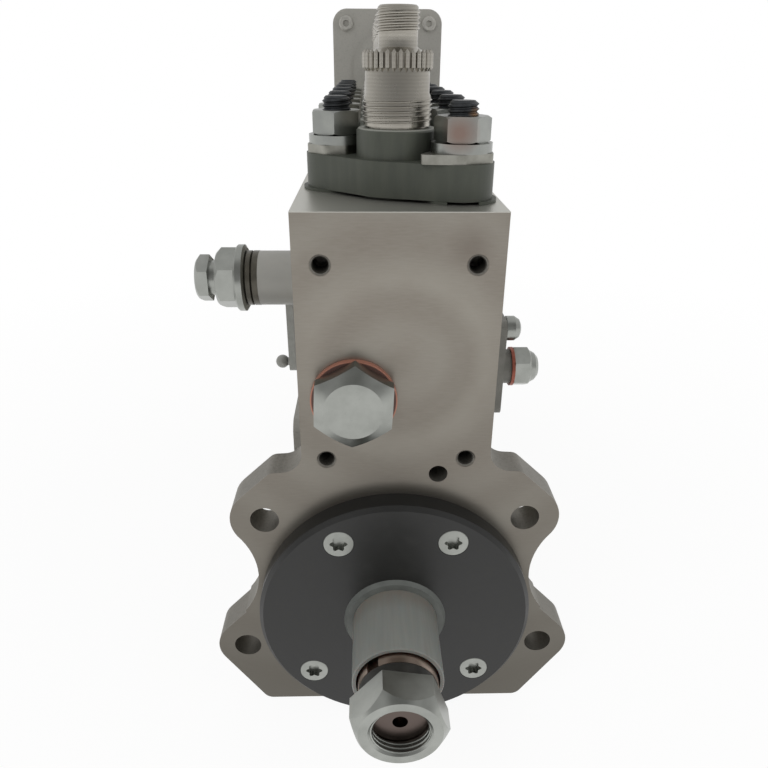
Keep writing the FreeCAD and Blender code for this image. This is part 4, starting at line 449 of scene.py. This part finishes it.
def lathe(name, outline, steps=72):
    """A mesh turned about Z from (radius, height) corners; corners stay crisp."""
    form = bmesh.new()
    loops = []
    for radius, height in outline:
        if radius < 1e-7:
            loops.append([form.verts.new((0.0, 0.0, height))] * steps)
            continue
        turns = [2 * math.pi * i / steps for i in range(steps)]
        loops.append([form.verts.new((radius * math.cos(t), radius * math.sin(t), height)) for t in turns])
    for low, high in zip(loops, loops[1:] + loops[:1]):
        for i in range(steps):
            j = (i + 1) % steps
            corners = list(dict.fromkeys([low[i], low[j], high[j], high[i]]))
            if len(corners) > 2:
                form.faces.new(corners)
    bmesh.ops.recalc_face_normals(form, faces=form.faces)
    data = bpy.data.meshes.new(name)
    form.to_mesh(data)
    form.free()
    data.shade_smooth()
    data.set_sharp_from_angle(angle=math.radians(25))
    return data


def prism(name, corners, low, high):
    """A straight bar along Z whose section has the given corners."""
    form = bmesh.new()
    bottom = [form.verts.new((x, y, low)) for x, y in corners]
    top = [form.verts.new((x, y, high)) for x, y in corners]
    form.faces.new(bottom)
    form.faces.new(top)
    count = len(corners)
    for i in range(count):
        j = (i + 1) % count
        form.faces.new((bottom[i], bottom[j], top[j], top[i]))
    bmesh.ops.recalc_face_normals(form, faces=form.faces)
    data = bpy.data.meshes.new(name)
    form.to_mesh(data)
    form.free()
    return data


def baked(thing):
    """The evaluated mesh of an object, kept without its modifiers."""
    graph = bpy.context.evaluated_depsgraph_get()
    data = bpy.data.meshes.new_from_object(thing.evaluated_get(graph), depsgraph=graph)
    thing.modifiers.clear()
    thing.data = data
    return thing


def socket_of(tree, name):
    """Identifier of a tree's input, by which a modifier takes its value."""
    for item in tree.interface.items_tree:
        if item.item_type == "SOCKET" and item.in_out == "INPUT" and item.name == name:
            return item.identifier
    raise KeyError(name)


def grow(name, tree, places, material, body, **values):
    """Run a tree on a cloud of places and keep the mesh that comes out."""
    thing = point_cloud(name, places)
    modifier = thing.modifiers.new(name, "NODES")
    modifier.node_group = tree
    modifier[socket_of(tree, "Material")] = material
    for label, value in values.items():
        modifier[socket_of(tree, label.replace("_", " ").capitalize())] = value
    baked(thing)
    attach(thing, body)
    return thing


def new_tree(name, inputs):
    """An empty tree with geometry in and out and named inputs with their defaults."""
    tree = bpy.data.node_groups.new(name, "GeometryNodeTree")
    face = tree.interface
    face.new_socket("Geometry", in_out="INPUT", socket_type="NodeSocketGeometry")
    for label, kind, value in inputs:
        socket = face.new_socket(label, in_out="INPUT", socket_type=kind)
        if value is not None:
            socket.default_value = value
    face.new_socket("Material", in_out="INPUT", socket_type="NodeSocketMaterial")
    face.new_socket("Geometry", in_out="OUTPUT", socket_type="NodeSocketGeometry")
    return tree, add(tree, "NodeGroupInput").outputs


def close_tree(tree, geometry, material):
    """Realize what a tree made, give it its material and send it out."""
    solid = add(tree, "GeometryNodeRealizeInstances", {0: geometry}).outputs[0]
    worn = add(tree, "GeometryNodeSetMaterial", {0: solid, "Material": material}).outputs[0]
    add(tree, "NodeGroupOutput", {0: worn})
    return tree


def helix_tree():
    """A ridge or wire wound round Z at every place: a thread with four sides, a spring with more."""
    tree, given = new_tree("wound_ridge", [
        ("Radius", "NodeSocketFloat", STUD_RADIUS),
        ("Pitch", "NodeSocketFloat", STUD_PITCH),
        ("Turns", "NodeSocketFloat", 5.0),
        ("Ridge", "NodeSocketFloat", 0.6 * MM),
        ("Half width", "NodeSocketFloat", 0.7 * MM),
        ("Sides", "NodeSocketInt", 4),
        ("Run out", "NodeSocketFloat", 0.5),
    ])
    height = maths(tree, "MULTIPLY", given["Pitch"], given["Turns"])
    path = add(tree, "GeometryNodeCurveSpiral", {
        "Resolution": 32, "Rotations": given["Turns"], "Start Radius": given["Radius"],
        "End Radius": given["Radius"], "Height": height, "Reverse": True,
    }).outputs[0]
    path = add(tree, "GeometryNodeSetCurveNormal", {0: path}, mode="Z_UP").outputs[0]
    section = add(tree, "GeometryNodeCurvePrimitiveCircle",
                  {"Resolution": given["Sides"], "Radius": 1.0}, mode="RADIUS").outputs[0]
    size = add(tree, "ShaderNodeCombineXYZ", {0: given["Half width"], 1: given["Ridge"], 2: 1.0}).outputs[0]
    section = add(tree, "GeometryNodeTransform", {0: section, "Scale": size}).outputs[0]
    along = add(tree, "GeometryNodeSplineParameter").outputs["Factor"]
    to_end = maths(tree, "MINIMUM", along, maths(tree, "SUBTRACT", 1.0, along))
    turns_to_end = maths(tree, "MULTIPLY", to_end, given["Turns"])
    fade = add(tree, "ShaderNodeMapRange", {0: turns_to_end, 1: 0.0, 2: given["Run out"], 3: 0.05, 4: 1.0})
    ridge = add(tree, "GeometryNodeCurveToMesh", {
        "Curve": path, "Profile Curve": section, "Scale": fade.outputs[0], "Fill Caps": True,
    }).outputs[0]
    copies = add(tree, "GeometryNodeInstanceOnPoints", {"Points": given["Geometry"], "Instance": ridge})
    return close_tree(tree, copies.outputs[0], given["Material"])


def copies_tree():
    """One master piece at every place."""
    tree, given = new_tree("copies_at_places", [("Master", "NodeSocketObject", None)])
    master = add(tree, "GeometryNodeObjectInfo", {"Object": given["Master"]}).outputs["Geometry"]
    copies = add(tree, "GeometryNodeInstanceOnPoints", {"Points": given["Geometry"], "Instance": master})
    return close_tree(tree, copies.outputs[0], given["Material"])


def spline_tree():
    """A ring of round-crested teeth with pointed ends round each place, as a lock spanner grips them."""
    tree, given = new_tree("spline_teeth", [
        ("Teeth", "NodeSocketInt", 33),
        ("Radius", "NodeSocketFloat", 10.7 * MM),
        ("Tooth", "NodeSocketFloat", 0.9 * MM),
        ("Length", "NodeSocketFloat", 4.4 * MM),
        ("Point", "NodeSocketFloat", 1.2 * MM),
    ])
    bar = add(tree, "GeometryNodeMeshCylinder",
              {"Vertices": 12, "Radius": given["Tooth"], "Depth": given["Length"]}).outputs["Mesh"]
    parts = add(tree, "GeometryNodeJoinGeometry", {0: bar})
    half = maths(tree, "MULTIPLY", given["Length"], 0.5)
    for way, turn in ((-1.0, math.pi), (1.0, 0.0)):
        tip = add(tree, "GeometryNodeMeshCone", {
            "Vertices": 12, "Radius Top": 0.0, "Radius Bottom": given["Tooth"], "Depth": given["Point"],
        }).outputs["Mesh"]
        lift = add(tree, "ShaderNodeCombineXYZ", {2: maths(tree, "MULTIPLY", half, way)}).outputs[0]
        placed = add(tree, "GeometryNodeTransform",
                     {0: tip, "Translation": lift, "Rotation": (turn, 0.0, 0.0)}).outputs[0]
        tree.links.new(placed, parts.inputs[0])
    circle = add(tree, "GeometryNodeMeshCircle", {"Vertices": given["Teeth"], "Radius": given["Radius"]})
    ring = add(tree, "GeometryNodeInstanceOnPoints",
               {"Points": circle.outputs["Mesh"], "Instance": parts.outputs[0]}).outputs[0]
    copies = add(tree, "GeometryNodeInstanceOnPoints", {"Points": given["Geometry"], "Instance": ring})
    return close_tree(tree, copies.outputs[0], given["Material"])


HELIX = helix_tree()
COPIES = copies_tree()
TEETH = spline_tree()


def raised(places, height):
    """The same places at another height."""
    return [Vector((p.x, p.y, height)) for p in places]


def repeated(name, data, places, material, body):
    """Copies of one master mesh at every place, as one piece."""
    master = new_object(name + "_master", data)
    thing = grow(name, COPIES, places, material, body, master=master)
    bpy.data.objects.remove(master)
    return thing


# Delivery valve holders: body, fine thread, spline and outlet thread

HOLDER_PITCH = 1.5 * MM
thread_low, thread_top = 178.0 * MM, 189.8 * MM
spline_low, spline_high = 197.0 * MM, 203.5 * MM
outlet_low, outlet_top = 208.0 * MM, holder_high.z
foot_top = 180.4 * MM
spring_room_top = 192.0 * MM
THREAD_CORE = 11.2 * MM
OUTLET_CORE = 6.4 * MM
foot, body, root = 9.95 * MM, 10.65 * MM, 10.5 * MM
spring_room, passage = 4.5 * MM, 1.2 * MM
holder_outline = [
    (spring_room, holder_low.z), (foot, holder_low.z), (foot, foot_top),
    (THREAD_CORE, foot_top + 0.1 * MM), (THREAD_CORE, thread_top - 0.6 * MM),
    (body, thread_top + 0.8 * MM), (body, spline_low - 0.6 * MM),
    (root, spline_low), (root, spline_high - 1.0 * MM),
    (7.2 * MM, spline_high), (6.5 * MM, spline_high + 0.6 * MM), (OUTLET_CORE, spline_high + 1.2 * MM),
    (OUTLET_CORE, outlet_low - 0.4 * MM), (6.45 * MM, outlet_low), (6.45 * MM, outlet_top - 0.5 * MM),
    (5.9 * MM, outlet_top), (4.0 * MM, outlet_top), (passage, outlet_top - 2.8 * MM),
    (passage, spring_room_top + 2.0 * MM), (spring_room, spring_room_top),
]
holders = repeated("valve_holder_bodies", lathe("holder", holder_outline), element_places, TURNED, "pump")
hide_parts("delivery_valve_holders")
collar_threads = grow("holder_threads", HELIX, raised(element_places, thread_low + 3.0 * MM), TURNED,
                      "pump", radius=THREAD_CORE, pitch=HOLDER_PITCH, turns=5.4, ridge=0.36 * MM,
                      half_width=0.6 * MM, sides=4)
outlet_threads = grow("outlet_threads", HELIX, raised(element_places, outlet_low + 0.1 * MM), TURNED,
                      "pump", radius=OUTLET_CORE, pitch=HOLDER_PITCH, turns=4.9, ridge=0.6 * MM,
                      half_width=0.72 * MM, sides=4)
spline_middle = (spline_low + spline_high) / 2
teeth = grow("holder_spline_teeth", TEETH, raised(element_places, spline_middle), TURNED, "pump",
             teeth=33, radius=10.75 * MM, tooth=0.85 * MM, length=4.3 * MM, point=1.15 * MM)

# Studs with rolled threads

STUD_CORE = 4.35 * MM
stud_outline = [
    (0.0, stud_low.z), (4.3 * MM, stud_low.z), (STUD_CORE, stud_high.z - 0.6 * MM),
    (3.7 * MM, stud_high.z), (0.0, stud_high.z),
]
studs = repeated("studs", lathe("stud", stud_outline, 40), stud_places, STUDS, "pump")
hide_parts("element_studs")
stud_threads = grow("stud_threads", HELIX, raised(stud_places, element_nut_top - 1.0 * MM), STUDS, "pump",
                    radius=STUD_CORE, pitch=STUD_PITCH, turns=3.4, ridge=0.64 * MM,
                    half_width=0.72 * MM, sides=4)


# Cover screws: countersunk heads with a six-lobed recess

def lobed_section(middle, lobe, steps=60):
    """Corners of the six-lobed drive recess."""
    turns = [2 * math.pi * i / steps for i in range(steps)]
    reaches = [middle + lobe * math.cos(6 * t) for t in turns]
    return [(reach * math.cos(t), reach * math.sin(t)) for reach, t in zip(reaches, turns)]


head_radius, shank_radius, head_height, screw_length = 5.8, 3.0, 3.2, 20.0
screw_outline = [(r * MM, h * MM) for r, h in [
    (0.0, 0.0), (head_radius - 0.25, 0.0), (head_radius, 0.25), (shank_radius + 0.1, head_height),
    (shank_radius, screw_length), (0.0, screw_length),
]]
head = new_object("cover_screw_master", lathe("cover_screw", screw_outline, 60))
recess_form = prism("recess", lobed_section(2.9 * MM, 0.5 * MM), -1.0 * MM, 2.2 * MM)
recess = new_object("recess_tool", recess_form)
cutting = head.modifiers.new("recess", "BOOLEAN")
cutting.object = recess
cutting.operation = "DIFFERENCE"
cutting.solver = "EXACT"
baked(head)
head.data.transform(Matrix.Rotation(math.radians(-90), 4, "X"))
screw_circle = 43.0 * MM
screw_turns = [math.radians(turn) for turn in (60, -40)]
screw_places = [
    Vector((side * screw_circle * math.cos(turn), cover_front, screw_circle * math.sin(turn)))
    for turn in screw_turns for side in (1, -1)
]
cover_screws = grow("lobed_cover_screws", COPIES, screw_places, ZINC, "pump", master=head)
bpy.data.objects.remove(head)
bpy.data.objects.remove(recess)
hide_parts("cover_screws")

# Springs under the plungers and over the delivery valves

def wound_springs(name, node, wire, turns):
    """Wound wire in the room of a spring that the CAD keeps as a sleeve."""
    low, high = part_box(node)
    radius = (high.x - low.x) / 2 - wire
    height = high.z - low.z - 2 * wire
    springs = grow(name, HELIX, raised(element_places, low.z + wire), WIRE, "pump", radius=radius,
                   pitch=height / turns, turns=turns, ridge=wire, half_width=wire, sides=8, run_out=0.05)
    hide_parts(node)


wound_springs("wound_plunger_springs", "plunger_springs", 1.5 * MM, 4.0)
wound_springs("wound_valve_springs", "delivery_valve_springs", 0.6 * MM, 7.0)


# Threads in holes

def hole_threads(name, places, radius, pitch, turns, material, body):
    """A thread that shows in a hole whose axis is the pump's length."""
    thing = grow(name, HELIX, [Vector()], material, body, radius=radius, pitch=pitch, turns=turns,
                 ridge=0.45 * pitch, half_width=0.42 * pitch, sides=4)
    data = thing.data
    data.transform(Matrix.Rotation(math.radians(-90), 4, "X"))
    master = new_object(name + "_master", data)
    bpy.data.objects.remove(thing)
    made = grow(name, COPIES, places, material, body, master=master)
    bpy.data.objects.remove(master)
    return made


pattern = mounts["front_face_threads"]
across = pattern["dims"]["spacing_x_mm"] / 2 * MM
up = pattern["dims"]["spacing_y_mm"] / 2 * MM
middle = Vector(pattern["pos_m"])
face_holes = [middle + Vector((sx * across, 0.0, sz * up)) for sx in (1, -1) for sz in (1, -1)]
# Thread at the bottom of a tapped hole, painted dark: painted shade in the hole
HOLE = plain("tapped_thread_painted_shade", "#3c3a35", "#4b4943", 2.0, metallic=0.6, roughness=0.5)
FACE_THREAD_RADIUS, FACE_THREAD_PITCH = 2.92 * MM, 1.0 * MM
NUT_THREAD_RADIUS, NUT_THREAD_PITCH = 10.05 * MM, 1.5 * MM
face_threads = hole_threads("tapped_hole_threads", face_holes, FACE_THREAD_RADIUS, FACE_THREAD_PITCH,
                            8.0, HOLE, "pump")
nut_thread = hole_threads("drive_nut_thread", [Vector((0.0, drive_nut_front + 0.5 * MM, 0.0))],
                          NUT_THREAD_RADIUS, NUT_THREAD_PITCH, 3.0, ZINC, "camshaft_assembly")


# Floor, light and camera

FLOOR_REACH = 80.0
floor_level = housing_low.z - 0.1 * MM
floor_corners = [(x * FLOOR_REACH, y * FLOOR_REACH, floor_level)
                 for x, y in ((-1, -1), (1, -1), (1, 1), (-1, 1))]
floor_data = bpy.data.meshes.new("studio_floor")
floor_data.from_pydata(floor_corners, [], [(0, 1, 2, 3)])
floor = new_object("studio_floor", floor_data)
# White paper sweep: it keeps the shadow, and a share of plain white lifts it to the picture's ground
paper, tree, shader = finish("white_paper_sweep", roughness=0.9, base_color=linear("#f2f2f0"))
seen = add(tree, "ShaderNodeLightPath").outputs
camera_or_glossy = maths(tree, "MAXIMUM", seen["Is Camera Ray"], seen["Is Glossy Ray"])
from_middle = add(tree, "ShaderNodeVectorMath", {0: object_place(tree)},
                  operation="LENGTH").outputs["Value"]
share = span(tree, from_middle, 0.25, 0.7, 0.93, 1.0)
lifted = maths(tree, "MULTIPLY", camera_or_glossy, share)
white = add(tree, "ShaderNodeEmission", {"Color": linear("#ffffff"), "Strength": 1.0}).outputs[0]
mixed = add(tree, "ShaderNodeMixShader", {0: lifted, 1: shader.outputs[0], 2: white}).outputs[0]
tree.links.new(mixed, tree.nodes["Material Output"].inputs["Surface"])
floor_data.materials.append(paper)

world = bpy.data.worlds.new("studio")
bpy.context.scene.world = world
world.use_nodes = True
tree = world.node_tree
tree.nodes.clear()
ways = add(tree, "ShaderNodeTexCoord").outputs["Generated"]
parts = add(tree, "ShaderNodeSeparateXYZ", {0: ways}).outputs
depth = span(tree, parts["Y"], -0.9, 0.4)
room = blend(tree, depth, "#a8a8a8", "#ffffff")
room = blend(tree, span(tree, parts["Z"], 0.2, 0.9), room, "#f4f4f4")
# The room behind and above the camera is darker, as shiny faces that lean up show
dark_side = (0.0, -0.6, 0.8)
toward = add(tree, "ShaderNodeVectorMath", {0: ways, 1: dark_side},
             operation="DOT_PRODUCT").outputs["Value"]
room = blend(tree, span(tree, toward, 0.84, 0.96, 0.0, 0.7), room, "#5a5a57")
seen = add(tree, "ShaderNodeLightPath").outputs
plain_white = maths(tree, "MAXIMUM", seen["Is Camera Ray"], seen["Is Transmission Ray"])
ROOM_LEVEL = 0.75
light = add(tree, "ShaderNodeBackground", {"Color": room, "Strength": ROOM_LEVEL}).outputs[0]
ground = add(tree, "ShaderNodeBackground", {"Color": linear("#ffffff"), "Strength": 1.0}).outputs[0]
mixed = add(tree, "ShaderNodeMixShader", {0: plain_white, 1: light, 2: ground}).outputs[0]
add(tree, "ShaderNodeOutputWorld", {"Surface": mixed})


def soft_box(name, place, aim, size, power):
    """A square area lamp that looks at a point."""
    lamp = bpy.data.lights.new(name, "AREA")
    lamp.size = size
    lamp.energy = power
    made = bpy.data.objects.new(name, lamp)
    bpy.context.scene.collection.objects.link(made)
    made.location = place
    made.rotation_mode = "QUATERNION"
    made.rotation_quaternion = (Vector(aim) - Vector(place)).to_track_quat("-Z", "Y")
    made.visible_glossy = False
    return made


pump_middle = (0.0, 0.05, 0.08)
soft_box("key_soft_box", (-0.55, -0.75, 1.05), pump_middle, 0.8, 7.0)
soft_box("fill_soft_box", (0.9, -0.35, 0.6), pump_middle, 0.7, 2.4)

# The photograph's camera, in millimetres, from the face, hole and element places in it
camera_place = Vector((-10.343, -213.999, 201.276)) * MM
camera_right = Vector((0.99970, -0.02392, 0.00567))
camera_up = Vector((0.00520, 0.43114, 0.90227))
camera_back = camera_right.cross(camera_up)
SENSOR = 36.0
FOCAL_PX = 685.186
PICTURE_PX = 768.0
camera_data = bpy.data.cameras.new("photo_camera")
camera_data.sensor_width = SENSOR
camera_data.lens = FOCAL_PX / PICTURE_PX * SENSOR
camera_data.clip_start = 0.01
camera_data.clip_end = 20.0
camera = bpy.data.objects.new("photo_camera", camera_data)
bpy.context.scene.collection.objects.link(camera)
turn = Matrix((camera_right, camera_up, camera_back)).transposed().to_4x4()
camera.matrix_world = Matrix.Translation(camera_place) @ turn
bpy.context.scene.camera = camera
bpy.context.scene.view_settings.view_transform = "Standard"
